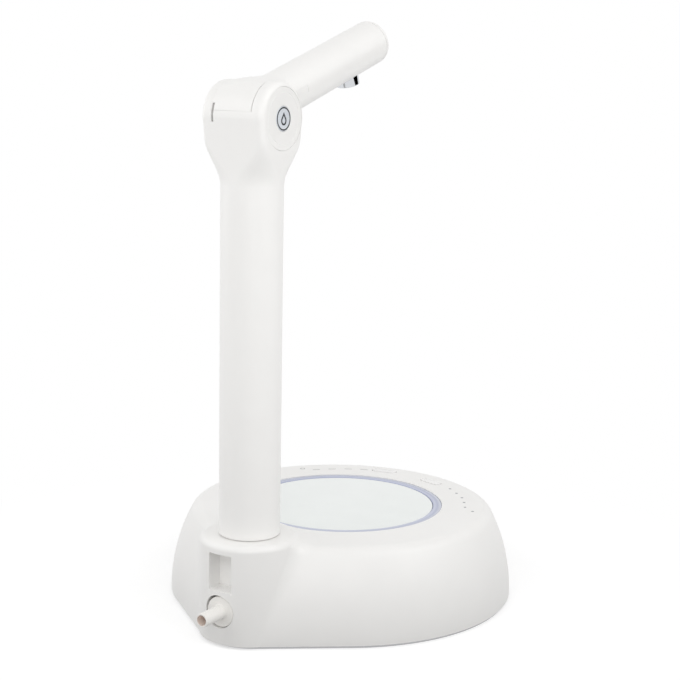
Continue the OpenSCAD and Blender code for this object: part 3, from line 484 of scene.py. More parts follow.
@dataclass(frozen=True)
class Finish:
    """A material: what it is, its colours and how its surface was made.

    The soft mottling and the fine grain are sized in millimetres.
    """

    name: str
    colour: str
    shade: str
    roughness: float
    ior: float = 1.5
    metallic: float = 0.0
    mottle: float = 14.0
    grain: float = 0.5
    depth: float = 0.012
    spread: float = 0.05
    stretch: tuple[float, float, float] = (1.0, 1.0, 1.0)
    coat: float = 0.0
    translucency: float = 0.0

    def material(self) -> bpy.types.Material:
        """The material of this finish, made at its first use.

        Returns:
            The material.
        """
        known = bpy.data.materials.get(self.name)
        if known:
            return known
        made = bpy.data.materials.new(self.name)
        tree = emptied(made)
        coords = node(tree, "ShaderNodeTexCoord").outputs["Object"]
        node(tree, "ShaderNodeOutputMaterial", Surface=self.shader(tree, coords).outputs["BSDF"])
        return made

    def shader(self, tree: Tree, coords: Socket) -> bpy.types.Node:
        """Builds the surface.

        Args:
            tree: the material's node tree.
            coords: object coordinates, in metres.

        Returns:
            The Principled shader.
        """
        laid = node(tree, "ShaderNodeMapping", Vector=coords, Scale=self.stretch).outputs["Vector"]
        grain = node(tree, "ShaderNodeTexNoise", Vector=laid, Scale=1 / (self.grain * MM), Detail=3.0,
                     Roughness=0.6).outputs["Fac"]
        rough = node(tree, "ShaderNodeMapRange", Value=grain, From_Min=GRAIN_ENDS[0], From_Max=GRAIN_ENDS[1],
                     To_Min=self.roughness - self.spread, To_Max=self.roughness + self.spread)
        bump = node(tree, "ShaderNodeBump", Height=grain, Strength=BUMP_WEIGHT, Distance=self.depth * MM)
        shader = node(tree, "ShaderNodeBsdfPrincipled", Metallic=self.metallic, Coat_Weight=self.coat,
                      Transmission_Weight=self.translucency, Base_Color=self.colours(tree, coords),
                      Roughness=rough.outputs["Result"], Normal=bump.outputs["Normal"])
        if self.metallic < 0.5:
            shader.inputs["IOR"].default_value = self.ior
        return shader

    def colours(self, tree: Tree, coords: Socket) -> Socket:
        """Soft mottling between the finish's two colours.

        Args:
            tree: the material's node tree.
            coords: object coordinates, in metres.

        Returns:
            The colour.
        """
        cloud = node(tree, "ShaderNodeTexNoise", Vector=coords, Scale=1 / (self.mottle * MM), Detail=2.0)
        ramp = node(tree, "ShaderNodeValToRGB", Fac=cloud.outputs["Fac"])
        for stop, place, colour in zip(ramp.color_ramp.elements, MOTTLE_ENDS, (self.shade, self.colour)):
            stop.position = place
            stop.color = linear(colour)
        return ramp.outputs["Color"]


@dataclass(frozen=True)
class RingFinish(Finish):
    """A light guide: bands of colour that follow the distance from the tray centre."""

    bands: tuple[tuple[float, str], ...] = ()

    def colours(self, tree: Tree, coords: Socket) -> Socket:
        """Bands of colour by radius, with a margin of 1 mm at both ends.

        Args:
            tree: the material's node tree.
            coords: object coordinates, in metres.

        Returns:
            The colour.
        """
        middle = node(tree, "ShaderNodeMapping", Vector=coords, Location=(0.0, MID_Y * MM, 0.0),
                      Scale=(1.0, 1.0, 0.0))
        reach = node(tree, "ShaderNodeVectorMath", {"operation": "LENGTH"}, in0=middle.outputs["Vector"])
        low, high = self.bands[0][0] - 1.0, self.bands[-1][0] + 1.0
        share = node(tree, "ShaderNodeMapRange", Value=reach.outputs["Value"], From_Min=low * MM,
                     From_Max=high * MM)
        ramp = node(tree, "ShaderNodeValToRGB", Fac=share.outputs["Result"])
        stops = ramp.color_ramp.elements
        for i, (radius, colour) in enumerate(self.bands):
            stop = stops[i] if i < 2 else stops.new(1.0)
            stop.position = (radius - low) / (high - low)
            stop.color = linear(colour)
        return ramp.outputs["Color"]


@dataclass(frozen=True)
class BoardFinish(Finish):
    """Solder mask over copper tracks that show as a paler grid."""

    track: str = "#3E7F57"
    pitch: float = 2.54

    def colours(self, tree: Tree, coords: Socket) -> Socket:
        """Tracks on the mask."""
        return node(tree, "ShaderNodeTexBrick", Vector=coords, Scale=1 / (self.pitch * MM),
                    Color1=linear(self.colour), Color2=linear(self.shade), Mortar=linear(self.track),
                    Mortar_Size=0.12, Row_Height=0.5).outputs["Color"]


# Satin white ABS off an eroded tool: a faint pearl grain that breaks up the highlights
HOUSING = Finish("abs_satin_white", "#F4F3F1", "#F3F2F0", 0.36, ior=1.53, grain=0.45, depth=0.010)
# Painted light: a brighter white for the back and ledge of the charging recess, lifting the shade that falls
# in it
RECESS_PAINTED_LIGHT = Finish("abs_gloss_white", "#FFFEFC", "#FEFDFB", 0.30, ior=1.53, grain=0.45, depth=0.006)
COVER = Finish("abs_cover_white", "#F3F2F0", "#F2F1EF", 0.33, ior=1.53, grain=0.40, depth=0.008)
# Smooth opal acrylic plate: almost a mirror gloss over a faint green white
TRAY = Finish("acrylic_opal_plate", "#EEF2F0", "#ECF0EE", 0.16, ior=1.49, grain=1.2, depth=0.003,
              spread=0.02, coat=0.4)
# Lavender light guide with a darker line at its inner edge
GUIDE = RingFinish("acrylic_light_guide", "#C4C8D8", "#BFC3D4", 0.22, ior=1.49, grain=0.8, depth=0.003,
                   spread=0.03, bands=((45.7, "#AFB4CE"), (46.6, "#C2C7DB"), (47.9, "#ABB1CA"),
                                       (49.2, "#C6CAD8"), (50.0, "#BBC0D0")))
# Polished moulded keys, and matt pad print in three greys
KEY = Finish("abs_key_white", "#F6F5F4", "#F3F2F1", 0.24, ior=1.53, grain=0.5, depth=0.004)
INK = Finish("pad_print_grey", "#A4A5A8", "#9D9EA2", 0.55, grain=0.25, depth=0.004)
PALE_INK = Finish("pad_print_pale", "#C6C6C4", "#C0C0BE", 0.55, grain=0.25, depth=0.004)
DARK_INK = Finish("pad_print_slate", "#1E2026", "#1A1C21", 0.5, grain=0.25, depth=0.004)
# Tinted acrylic inlay under a clear coat
BADGE = Finish("acrylic_badge_blue_grey", "#DEE2E7", "#D9DDE3", 0.28, ior=1.49, grain=0.5, depth=0.004,
               coat=0.3)
# Turned acetal with a waxy sheen
FITTING = Finish("pom_fitting_white", "#F7F5F1", "#F4F2EE", 0.30, ior=1.48, grain=0.5, depth=0.006)
# Inside of the pipe: painted shade, a darker and warmer white standing in for the shade down the bore
BORE_PAINTED_SHADE = Finish("pom_bore_damp", "#F6E9E0", "#F0E2D9", 0.45, ior=1.48, grain=0.5)
# Inner pieces: moulded nylon and ABS, green solder mask, lamp lenses and a shrink sleeve
NYLON = Finish("nylon_natural", "#DEDDD8", "#D8D7D1", 0.45, ior=1.53, grain=0.5)
BLACK = Finish("abs_black", "#242528", "#1F2023", 0.45, ior=1.53, grain=0.4)
BOARD = BoardFinish("board_solder_mask", "#2B6443", "#2F6B48", 0.35, grain=0.6)
LAMP = Finish("lamp_lens", "#F6F1D6", "#F2ECCB", 0.2, grain=0.6, translucency=0.3)
SLEEVE = Finish("pvc_cell_sleeve", "#4A8CBD", "#4586B6", 0.3, grain=0.8)
# Clear silicone hose: a milky skin with a soft sheen
HOSE = Finish("silicone_hose_clear", "#DDE3E3", "#D6DDDD", 0.38, ior=1.41, grain=0.7, translucency=0.35)
# Moulded rubber, dull and a little rough
RUBBER = Finish("rubber_foot_grey", "#38383B", "#323235", 0.75, ior=1.52, grain=0.3, depth=0.03)
# Plated screws and cans: fine drawing lines along one direction
STEEL = Finish("steel_zinc_plated", "#B9BBBE", "#ADAFB3", 0.32, metallic=1.0, grain=0.6,
               stretch=(1.0, 0.12, 1.0))
# Bright chrome plating: a clean mirror with a trace of haze
CHROME = Finish("chrome_plated_brass", "#D9DBDE", "#D2D5D9", 0.07, metallic=1.0, grain=1.5, depth=0.002,
                spread=0.02)

NODE_FINISHES: dict[str, Finish] = {
    "bottom_plate": HOUSING, "feet": RUBBER, "plate_screws": STEEL, "led_board": BOARD, "ring_leds": LAMP,
    "touch_board": BOARD, "battery_holder": BLACK, "battery_cell": SLEEVE, "main_board": BOARD,
    "board_parts": BLACK, "board_screws": STEEL, "pump_motor": STEEL, "pump_head": BLACK,
    "pump_saddle": RUBBER, "pump_strap": NYLON, "strap_screws": STEEL, "inlet_seal": RUBBER,
    "suction_hose": HOSE, "charge_socket": STEEL, "charge_board": BOARD, "column_screws": STEEL,
    "riser_hose": HOSE, "hinge_pins": STEEL, "friction_washers": NYLON, "nozzle_insert": NYLON,
    "nozzle_elbow": NYLON, "arm_hose": HOSE,
}


def gradient(field_of: Callable[..., Array], x: Array, y: Array, z: Array) -> Array:
    """Slope of a distance field by small steps.

    Args:
        field_of: the field as a function of x, y and z.
        x: places along X, mm.
        y: places along Y, mm.
        z: places along Z, mm.

    Returns:
        Unit directions stacked on a last axis.
    """
    step = 0.05
    slope = np.stack([
        field_of(x + step, y, z) - field_of(x - step, y, z),
        field_of(x, y + step, z) - field_of(x, y - step, z),
        field_of(x, y, z + step) - field_of(x, y, z - step),
    ], axis=-1)
    return slope / np.maximum(np.linalg.norm(slope, axis=-1, keepdims=True), 1e-9)


def joined(a: Array, b: Array, k: Array) -> Array:
    """Soft union of two distance fields.

    Args:
        a: first field.
        b: second field.
        k: width of the blend, mm.

    Returns:
        The blended field.
    """
    width = np.maximum(k, 1e-6)
    share = np.clip(width - np.abs(a - b), 0.0, None) / width
    return np.minimum(a, b) - share * share * width / 4


def surface_reach(inside: Callable[[Array], Array], shape: tuple[int, ...], reach: float) -> Array:
    """Distance to a surface along rays, by halving.

    Args:
        inside: field at given distances along the rays; negative inside.
        shape: shape of the array of rays.
        reach: distance that is surely outside, mm.

    Returns:
        Distances along the rays, mm.
    """
    low, high = np.zeros(shape), np.full(shape, reach)
    for _ in range(HALVINGS):
        middle = (low + high) / 2
        within = inside(middle) < 0
        low, high = np.where(within, middle, low), np.where(within, high, middle)
    return (low + high) / 2


def respaced(line: Array, count: int) -> Array:
    """A line with its points set closer where it bends.

    Args:
        line: points in order, one row each.
        count: number of points wanted.

    Returns:
        The new points.
    """
    steps = np.diff(line, axis=0)
    lengths = np.linalg.norm(steps, axis=1)
    ways = steps / np.maximum(lengths[:, None], 1e-9)
    bends = np.zeros(len(lengths))
    bends[1:] = np.arccos(np.clip((ways[1:] * ways[:-1]).sum(1), -1, 1))
    bend_share = 1.2
    weight = lengths / lengths.sum() + bend_share * bends / max(bends.sum(), 1e-9)
    along = np.concatenate([[0.0], np.cumsum(weight)])
    wanted = np.linspace(0.0, along[-1], count)
    return np.stack([np.interp(wanted, along, line[:, i]) for i in range(line.shape[1])], axis=1)


@dataclass
class Base:
    """Teardrop base: housing, tray, light ring, touch marks, keys and inlet. Lengths in mm."""

    base_r: float = 85.0
    tail_y: float = 73.5
    tail_r: float = 26.2
    flank: tuple[float, float] = (0.6, 0.8)
    side_r: float = 82.4375
    shoulder_r: float = 7.0
    shoulder_in: float = 15.875
    shoulder_way: tuple[float, float] = (8 / 17, 15 / 17)
    boss_r: float = 22.8
    boss_edge: float = 3.0
    blend: float = 9.0
    wall: float = 2.4
    lip_rise: float = 5.0
    # Rays that find the skin start on the column's axis, at this height
    eye_z: float = 14.0
    far: float = 260.0
    mouth_r: float = 12.0
    spokes: int = 288
    rings: int = 104
    ray_steps: int = 500
    tray_r: float = 45.55
    tray_low: float = 39.3
    tray_top: float = 42.0
    tray_edge: float = 0.6
    seat_low: float = 38.0
    seat_gap: float = 0.06
    ring_in: float = 45.7
    ring_out: float = 50.0
    ring_low: float = 40.2
    # Outer and inner edge of the ring: height over the tray and radius of the round
    ring_rise: tuple[float, float] = (0.25, 0.1)
    ring_edges: tuple[float, float] = (0.35, 0.3)
    # Marks and keys by their angle from the front and their distance from the tray centre
    dashes: tuple[Point, ...] = ((46.0, 60.5), (37.8, 60.9), (29.6, 61.4), (21.6, 61.8))
    dots: tuple[Point, ...] = (
        (-32.3, 61.9), (-40.1, 61.6), (-47.8, 61.9), (-55.5, 61.5), (-63.2, 61.6), (-68.9, 65.8))
    symbol: Point = (52.2, 64.0)
    keys: tuple[Point, ...] = ((11.4, 63.0), (-17.5, 61.0))
    dash_size: tuple[float, float] = (4.2, 0.9)
    dot_r: float = 0.72
    symbol_r: float = 1.4
    symbol_hollow: float = 0.85
    mark_low: float = 42.2
    mark_rise: float = 0.04
    key_size: tuple[float, float] = (13.0, 4.4)
    key_low: float = 41.0
    key_rise: float = 0.25
    key_edge: float = 0.35
    key_gap: float = 0.9
    pocket_z: tuple[float, float] = (41.6, 44.0)
    # Charging recess and the opening of its socket
    recess_half: float = 6.2
    recess_z: tuple[float, float] = (24.7, 42.0)
    recess_back: float = 92.2
    recess_edge: float = 0.6
    socket_x: tuple[float, float] = (-3.82, -0.58)
    socket_z: tuple[float, float] = (28.83, 37.87)
    socket_depth: float = 8.0
    inlet_z: float = 15.0
    inlet_r: float = 3.2
    inlet_bore: float = 2.4
    inlet_face: float = 100.2
    inlet_end: float = 113.8
    flange_r: float = 7.05
    flange_back: float = 92.0
    # Rounds of the flange's edge, of its corner with the pipe, and of the pipe's end outside and inside
    inlet_edges: tuple[float, ...] = (0.4, 0.6, 0.3, 0.2)
    hole_r: float = 7.7
    hole_back: float = 93.0
    # The hole sits a little off the pipe's axis, across and up
    hole_off: tuple[float, float] = (0.45, 0.15)

    def inset(self, x: Array, y: Array) -> Array:
        """Distance inwards from the rim's outline, seen from above.

        Args:
            x: places along X.
            y: places along Y.

        Returns:
            The distances.
        """
        side = np.abs(x)
        along = -self.flank[1] * side + self.flank[0] * y
        front = self.base_r - np.hypot(side, y)
        tail = self.tail_r - np.hypot(side, y - self.tail_y)
        straight = self.base_r - self.flank[0] * side - self.flank[1] * y
        return np.where(along <= 0, front, np.where(along >= self.tail_y * self.flank[0], tail, straight))

    def body_field(self, x: Array, y: Array, z: Array) -> Array:
        """Distance to the teardrop body; negative inside.

        Args:
            x: places along X.
            y: places along Y.
            z: places along Z.

        Returns:
            The distances.
        """
        inset = self.inset(x, y)
        shoulder_z = TOP_Z - self.shoulder_r
        across, up = inset - self.shoulder_in, z - shoulder_z
        shoulder = np.hypot(across, up) - self.shoulder_r
        side = np.hypot(inset - self.side_r, z) - self.side_r
        on_shoulder = (across < 0) & (across * self.shoulder_way[0] + up * self.shoulder_way[1] > 0)
        return np.where(on_shoulder, shoulder, np.where(across < 0, side, np.maximum(z - TOP_Z, side)))

    def boss_field(self, x: Array, y: Array, z: Array) -> Array:
        """Distance to the boss of the column; negative inside.

        Args:
            x: places along X.
            y: places along Y.
            z: places along Z.

        Returns:
            The distances.
        """
        out = np.hypot(x, y - COLUMN_Y) - self.boss_r + self.boss_edge
        up = z - BOSS_TOP + self.boss_edge
        corner = np.hypot(np.maximum(out, 0), np.maximum(up, 0)) + np.minimum(np.maximum(out, up), 0)
        return corner - self.boss_edge

    def field(self, x: Array, y: Array, z: Array) -> Array:
        """Distance to body and boss with the soft fillet between them.

        Args:
            x: places along X.
            y: places along Y.
            z: places along Z.

        Returns:
            The distances.
        """
        lean = (gradient(self.body_field, x, y, z) * gradient(self.boss_field, x, y, z)).sum(-1)
        width = self.blend * np.clip(1.0 - lean, 0.0, 1.0)
        return joined(self.body_field(x, y, z), self.boss_field(x, y, z), width)

    def rim(self, inset: float) -> list[Point]:
        """Plan of the rim, drawn in by a distance.

        Args:
            inset: the distance.

        Returns:
            Corners of the outline in order.
        """
        lean = math.atan2(self.flank[1], self.flank[0])
        tail = arc((0.0, self.tail_y), self.tail_r - inset, lean, math.pi - lean, 32)
        front = arc((0.0, 0.0), self.base_r - inset, math.pi - lean, 2 * math.pi + lean, 128)
        return tail + front

    def profiles(self) -> Array:
        """Lines down the housing's skin, from the column's foot to the rim, all round.

        Returns:
            Points as an array of lines, points and xyz, mm.
        """
        turn = np.linspace(0.0, 2 * math.pi, self.spokes, endpoint=False)
        east, north = np.sin(turn), np.cos(turn)
        rim = surface_reach(lambda t: self.field(t * east, COLUMN_Y + t * north, np.zeros_like(t)),
                            turn.shape, self.far)
        first = math.atan2(self.mouth_r, BOSS_TOP - self.eye_z)
        last = np.arctan2(rim, -self.eye_z)
        share = np.linspace(0.0, 1.0, self.ray_steps)
        fall = first + (last[:, None] - first) * share[None, :]
        out, up = np.sin(fall), np.cos(fall)

        def places(t: Array) -> tuple[Array, Array, Array]:
            """Places at distances along the rays."""
            return t * out * east[:, None], COLUMN_Y + t * out * north[:, None], self.eye_z + t * up

        reach = surface_reach(lambda t: self.field(*places(t)), fall.shape, self.far)
        skin = np.stack(places(reach), axis=-1)
        skin[:, -1] = np.stack([rim * east, COLUMN_Y + rim * north, np.zeros_like(rim)], axis=-1)
        return np.stack([respaced(line, self.rings) for line in skin])

    def build_housing(self) -> None:
        """Upper housing with the tray seat, the charging recess and the hole of the inlet."""
        lines = self.profiles()
        rim = lines[:, -1]
        run = np.roll(rim, -1, axis=0) - np.roll(rim, 1, axis=0)
        inward = np.stack([run[:, 1], -run[:, 0], np.zeros(len(run))], axis=1)
        inward /= np.linalg.norm(inward, axis=1, keepdims=True)
        if (inward[0] * rim[0]).sum() > 0:
            inward = -inward
        edge = rim + inward * self.wall
        lip = edge + np.array([0.0, 0.0, self.lip_rise])
        rows = np.concatenate([lines, edge[:, None], lip[:, None]], axis=1).transpose(1, 0, 2)
        housing = laid_grid("housing", np.concatenate([rows, rows[:, :1]], axis=1))
        close_up(housing)
        self.open_up(housing)
        dress(settle(housing, on_tray()), HOUSING, "white_housing", Body.STAND, "base_shell")
        # Painted light: the back and ledge of the recess take a brighter white than the housing
        second_finish(housing, RECESS_PAINTED_LIGHT, self.painted_light_in_recess)

    def open_up(self, housing: Piece) -> None:
        """Cuts the seat of the tray, the recess with its socket, the hole of the inlet and the key pockets.

        Args:
            housing: the closed housing, in millimetres.
        """
        upright = (Matrix.Translation((0, self.recess_back, 0)) @ Matrix.Rotation(math.pi / 2, 4, "X")
                   @ Matrix.Scale(-1, 4, (0, 0, 1)))
        mouth = rounded(oblong(-self.recess_half, self.recess_half, *self.recess_z), [self.recess_edge] * 4)
        recess = prism("recess_tool", mouth, 0.0, 30.0, upright)
        opening = oblong(*self.socket_x, *self.socket_z)
        socket = prism("socket_tool", opening, -self.socket_depth, 1.0, upright)
        for mirrored in (recess, socket):
            close_up(mirrored)
        seat = rod(self.ring_out + self.seat_gap, (0, 0, self.seat_low), 20.0, Axis.Z, 192)
        across, up = self.hole_off
        hole = rod(self.hole_r, (across, self.hole_back, self.inlet_z + up), 30.0, Axis.Y)
        length, width = self.key_size
        pocket = self.pill(length + self.key_gap, width + self.key_gap)
        pockets = [prism("key_tool", pocket, *self.pocket_z, self.at_mark(*spot)) for spot in self.keys]
        cut(housing, seat, recess, hole, socket, *pockets)

    def painted_light_in_recess(self, centre: Vector) -> bool:
        """Tells whether a place lies on the back or the ledge of the charging recess, which get painted
        light.

        Args:
            centre: the place in the row frame, in metres.

        Returns:
            True if it does.
        """
        flush, slack = 0.05, 0.1
        x, y, z = (centre / MM) - Vector((0.0, -MID_Y, FOOT_LIFT))
        low, high = self.recess_z
        on_back = abs(y - self.recess_back) < flush and low - slack < z < high + slack
        on_ledge = abs(z - low) < flush and y > self.recess_back - slack
        return abs(x) < self.recess_half + slack and (on_back or on_ledge)

    @staticmethod
    def at_mark(angle: float, radius: float) -> Matrix:
        """Place on the top at an angle from the front and a distance from the tray centre."""
        return Matrix.Rotation(math.radians(angle), 4, "Z") @ Matrix.Translation((0, -radius, 0))

    @staticmethod
    def pill(length: float, width: float) -> list[Point]:
        """Outline with round ends.

        Args:
            length: whole length.
            width: width across.

        Returns:
            Corners of the outline in order.
        """
        # A hair less than half the width, so that the rounds stay apart
        radius = width / 2 * 0.999
        return rounded(oblong(-length / 2, length / 2, -width / 2, width / 2), [radius] * 4, 10)

    def build_tray(self) -> None:
        """Cup plate and the light ring round it."""
        flat = oblong(0, self.tray_r, self.tray_low, self.tray_top)
        plate = turned("cup_plate", rounded(flat, [0, 0, self.tray_edge, 0]), steps=192)
        dress(settle(plate, on_tray()), TRAY, "tray_plate", Body.STAND, "tray_plate")
        outer, inner = (self.tray_top + rise for rise in self.ring_rise)
        band = [(self.ring_in, self.ring_low), (self.ring_out, self.ring_low), (self.ring_out, outer),
                (self.ring_in, inner)]
        ring = turned("light_ring_guide", rounded(band, [0, 0, *self.ring_edges]), steps=192)
        dress(settle(ring, on_tray()), GUIDE, "light_ring", Body.STAND, "light_ring")

    def build_marks(self) -> None:
        """Touch keys in their pockets and the printed row of dots and dashes."""
        pill, top = self.pill(*self.key_size), TOP_Z + self.key_rise
        pads = [prism("key_pad", pill, self.key_low, top, self.at_mark(*spot)) for spot in self.keys]
        for pad in pads:
            soften(pad, self.key_edge, 60.0, 3)
        dress(settle(as_one("touch_keys", pads), on_tray()), KEY, "touch_key", Body.STAND, "key_pads")
        low, high = self.mark_low, TOP_Z + self.mark_rise
        dash, dot, middle = self.pill(*self.dash_size), self.disc(self.dot_r), self.at_mark(*self.symbol)
        dashes = [prism("dash", dash, low, high, self.at_mark(*spot)) for spot in self.dashes]
        symbol = prism("symbol", self.disc(self.symbol_r), low, high, middle)
        cut(symbol, prism("symbol_tool", self.disc(self.symbol_hollow), TOP_Z - 0.1, TOP_Z + 1.0, middle))
        dots = [prism("dot", dot, low, high, self.at_mark(*spot)) for spot in self.dots]
        prints = settle(as_one("printed_marks", [*dashes, symbol, *dots]), on_tray())
        dress(prints, INK, "mark_grey", Body.STAND, "key_marks")
        second_finish(prints, PALE_INK, lambda centre: centre.x > 0)

    @staticmethod
    def disc(radius: float) -> list[Point]:
        """Round outline."""
        return arc((0.0, 0.0), radius, 0.0, 2 * math.pi, 25)[:-1]

    def build_inlet(self) -> None:
        """Inlet pipe with its round flange."""
        end, face = self.inlet_end, self.inlet_face
        section = rounded([
            (self.inlet_bore, self.flange_back), (self.flange_r, self.flange_back), (self.flange_r, face),
            (self.inlet_r, face), (self.inlet_r, end), (self.inlet_bore, end),
        ], [0, 0, *self.inlet_edges])
        pipe = turned("inlet_pipe_fitting", section, Axis.Y)
        place = on_tray() @ Matrix.Translation((0, 0, self.inlet_z))
        dress(settle(pipe, place), FITTING, "inlet_plastic", Body.STAND, "inlet_fitting")
        axis = place.translation * MM
        reach = (self.inlet_bore + 0.02) * MM
        # Painted shade: the inside of the pipe takes the darker, warmer white
        second_finish(pipe, BORE_PAINTED_SHADE, lambda centre: math.hypot(centre.x - axis.x, centre.z - axis.z) < reach)

    def build(self) -> None:
        """Makes every piece of the base."""
        self.build_housing()
        self.build_tray()
        self.build_marks()
        self.build_inlet()


@dataclass
class Column:
    """Column with the forked head, its covers and the round inlay. Lengths in mm about the hinge axis.

    Places are x across, u back and w up.
    """

    tube_r: float = 14.0
    groove_r: float = 13.1
    groove_h: float = 0.4
    foot_edge: float = 0.2
    head_r: float = 16.3
    head_half: float = 16.4
    edge_r: float = 3.0
    neck_l: float = 29.5
    neck_flat: float = 9.0
    slot_half: float = 10.95
    cavity_r: float = 14.6
    back_lip: float = 3.1
    channel_l: float = 104.5
    channel_u: float = -3.5
    channel_top: float = 8.0
    channel_gap: float = 0.04
    lip_u: float = -7.0
    # Radius and height of the sweep at the top of the lips, and the ends of both sweeps in degrees
    lip_sweep: tuple[float, float] = (40.0, -42.0)
    lip_foot_r: float = 20.0
    lip_ends: tuple[float, float] = (75.0, -80.0)
    riser_u: float = 10.7
    riser_r: float = 2.5
    riser_low: float = -40.0
    riser_l: float = 32.0
    cover_r: float = 13.7
    cover_t: float = 2.4
    cover_gap: float = 0.07
    cover_fall: float = 0.05
    cover_edge: float = 0.25
    mouth_edge: float = 0.15
    # Fine line on a cover, from its outer edge over its floor to its inner edge
    line_r: tuple[float, ...] = (11.5, 11.4, 11.25, 11.15)
    line_depth: float = 0.1
    badge_r: float = 5.4
    badge_gap: float = 0.12
    badge_rise: float = 0.1
    badge_edge: float = 0.25
    badge_line: tuple[float, float] = (4.45, 5.05)
    print_low: float = -0.1
    print_rise: tuple[float, float] = (0.06, 0.04)
    drop_rise: float = 0.13
    drop_r: float = 1.95
    drop_tip: float = 3.65
    drop_line: float = 0.75
    corner_steps: int = 20

    def section(self, w: float) -> Array:
        """Outline of the neck: a square with round corners.

        Args:
            w: height over the hinge axis.

        Returns:
            Points of the outline in order.
        """
        rise = min(1.0, max(0.0, (w + self.neck_l) / (self.neck_l - self.neck_flat)))
        ease = rise * rise * (3 - 2 * rise)
        bulge = min(1.0, max(0.0, (w + self.neck_l) / self.neck_l)) ** 2
        corner = self.tube_r + (self.edge_r - self.tube_r) * ease
        x = self.tube_r + (self.head_half - self.tube_r) * ease - corner
        u = self.tube_r + (self.head_r - self.tube_r) * bulge - corner
        points = []
        for quarter, (sx, su) in enumerate(((1, 1), (-1, 1), (-1, -1), (1, -1))):
            angles = np.linspace(quarter * math.pi / 2, (quarter + 1) * math.pi / 2, self.corner_steps + 1)
            points.append(np.stack([sx * x + corner * np.cos(angles), su * u + corner * np.sin(angles),
                                    np.full_like(angles, w)], axis=1))
        return np.concatenate(points)

    def shaft(self) -> Piece:
        """Column tube and neck as one skin, with the shadow groove at the foot.

        Returns:
            The skin, open at both ends.
        """
        foot = BOSS_TOP - HINGE_Z
        edge = foot + self.groove_h
        low = [(foot, self.groove_r), (edge, self.groove_r), (edge, self.tube_r - self.foot_edge),
               (edge + self.foot_edge, self.tube_r)]
        rows = []
        for w, radius in low:
            loop = self.section(-self.neck_l) * np.array([radius / self.tube_r, radius / self.tube_r, 0.0])
            rows.append(loop + np.array([0.0, 0.0, w]))
        tube = np.linspace(foot + 20.0, -self.neck_l - 6.0, 8)
        for w in np.concatenate([tube, np.linspace(-self.neck_l, 0.0, 60)]):
            loop = self.section(w)
            loop[:, 2] = w
            rows.append(loop)
        rows = np.stack(rows)
        return laid_grid("column_shaft", np.concatenate([rows, rows[:, :1]], axis=1))

    def drum(self) -> Piece:
        """Round top of the head, spun from the neck's last outline.

        Returns:
            The skin, open below.
        """
        half = self.section(0.0)[:2 * (self.corner_steps + 1)]
        rows = [np.stack([half[:, 0], half[:, 1] * math.cos(a), half[:, 1] * math.sin(a)], axis=1)
                for a in np.linspace(0.0, math.pi, 73)]
        return laid_grid("column_drum", np.stack(rows))

    def arm_room(self) -> list[Piece]:
        """Tools for the slot between the cheeks, the channel, its lowered lips and the riser hose.

        Returns:
            The tools in the order of the cuts.
        """
        far = 60.0
        start = math.asin(self.back_lip / self.cavity_r)
        stop = -math.pi / 2 - math.asin(-self.channel_u / self.cavity_r)
        slot = [(far, far), (far, self.back_lip), *arc((0.0, 0.0), self.cavity_r, start, stop, 60),
                (self.channel_u, -self.channel_l), (-far, -self.channel_l), (-far, far)]
        sweep_r, sweep_w = self.lip_sweep
        first, last = (math.radians(end) for end in self.lip_ends)
        top = arc((self.lip_u - sweep_r, sweep_w), sweep_r, first, 0.0, 40)
        foot = arc((self.lip_u - self.lip_foot_r, -self.channel_l), self.lip_foot_r, 0.0, last, 30)
        lips = [*top, *foot, (-far, foot[-1][1]), (-far, top[0][1])]
        return [
            prism("slot_tool", slot, -self.slot_half, self.slot_half, sideways()),
            rod(self.slot_half - self.channel_gap, (0, self.channel_u, -self.channel_l),
                self.channel_l - self.channel_top, Axis.Z, 128),
            prism("lip_tool", lips, -far, far, sideways()),
            rod(self.riser_r, (0, self.riser_u, self.riser_low), self.riser_l, Axis.Z, 48),
        ]

    def build_shaft(self) -> None:
        """The column in one piece, cut for the arm and the covers."""
        column = as_one("column_fork", [self.shaft(), self.drum()])
        close_up(column)
        radius, seat, deep = self.cover_r + self.cover_gap, self.head_half - self.cover_t, 20.0
        seats = [rod(radius, (x, 0, 0), deep, Axis.X, 128) for x in (seat, -seat - deep)]
        cut(column, *self.arm_room(), side_slit(), *seats)
        dress(settle(column, on_hinge()), HOUSING, "white_housing", Body.STAND, "column")

    def build_covers(self) -> None:
        """Round covers with a fine line on the face, and the inlay with its printed ring."""
        face, back = self.head_half, self.head_half - self.cover_t
        outer, outer_floor, inner_floor, inner = self.line_r
        floor = face - self.line_depth
        other = on_hinge() @ Matrix.Rotation(math.pi, 4, "Z")
        covers = (("cover_left", "hinge_cap_left", 0.0, on_hinge()),
                  ("cover_right", "hinge_cap_right", self.badge_r + self.badge_gap, other))
        for name, node_name, mouth, place in covers:
            section = [(mouth, back), (self.cover_r, back), (self.cover_r, face - self.cover_fall),
                       (outer, face), (outer_floor, floor), (inner_floor, floor), (inner, face),
                       (mouth, face)]
            edges = [0, 0, self.cover_edge, 0, 0, 0, 0, self.mouth_edge if mouth else 0]
            cover = turned(name, rounded(section, edges), Axis.X, 128)
            dress(settle(cover, place), COVER, "white_cover", Body.STAND, node_name)
        inlay = [(0, back), (self.badge_r, back), (self.badge_r, face), (0, face + self.badge_rise)]
        badge = turned("badge_inlay", rounded(inlay, [0, 0, self.badge_edge, 0]), Axis.X)
        dress(settle(badge, other), BADGE, "badge", Body.STAND, "hinge_badge")
        line_in, line_out = self.badge_line
        low = face + self.print_low
        high_in, high_out = (face + rise for rise in self.print_rise)
        line = [(line_in, low), (line_out, low), (line_out, high_out), (line_in, high_in)]
        ring = turned("badge_ring", line, Axis.X)
        dress(settle(ring, other), DARK_INK, "mark_grey", Body.STAND)
        self.build_drop(other, face)

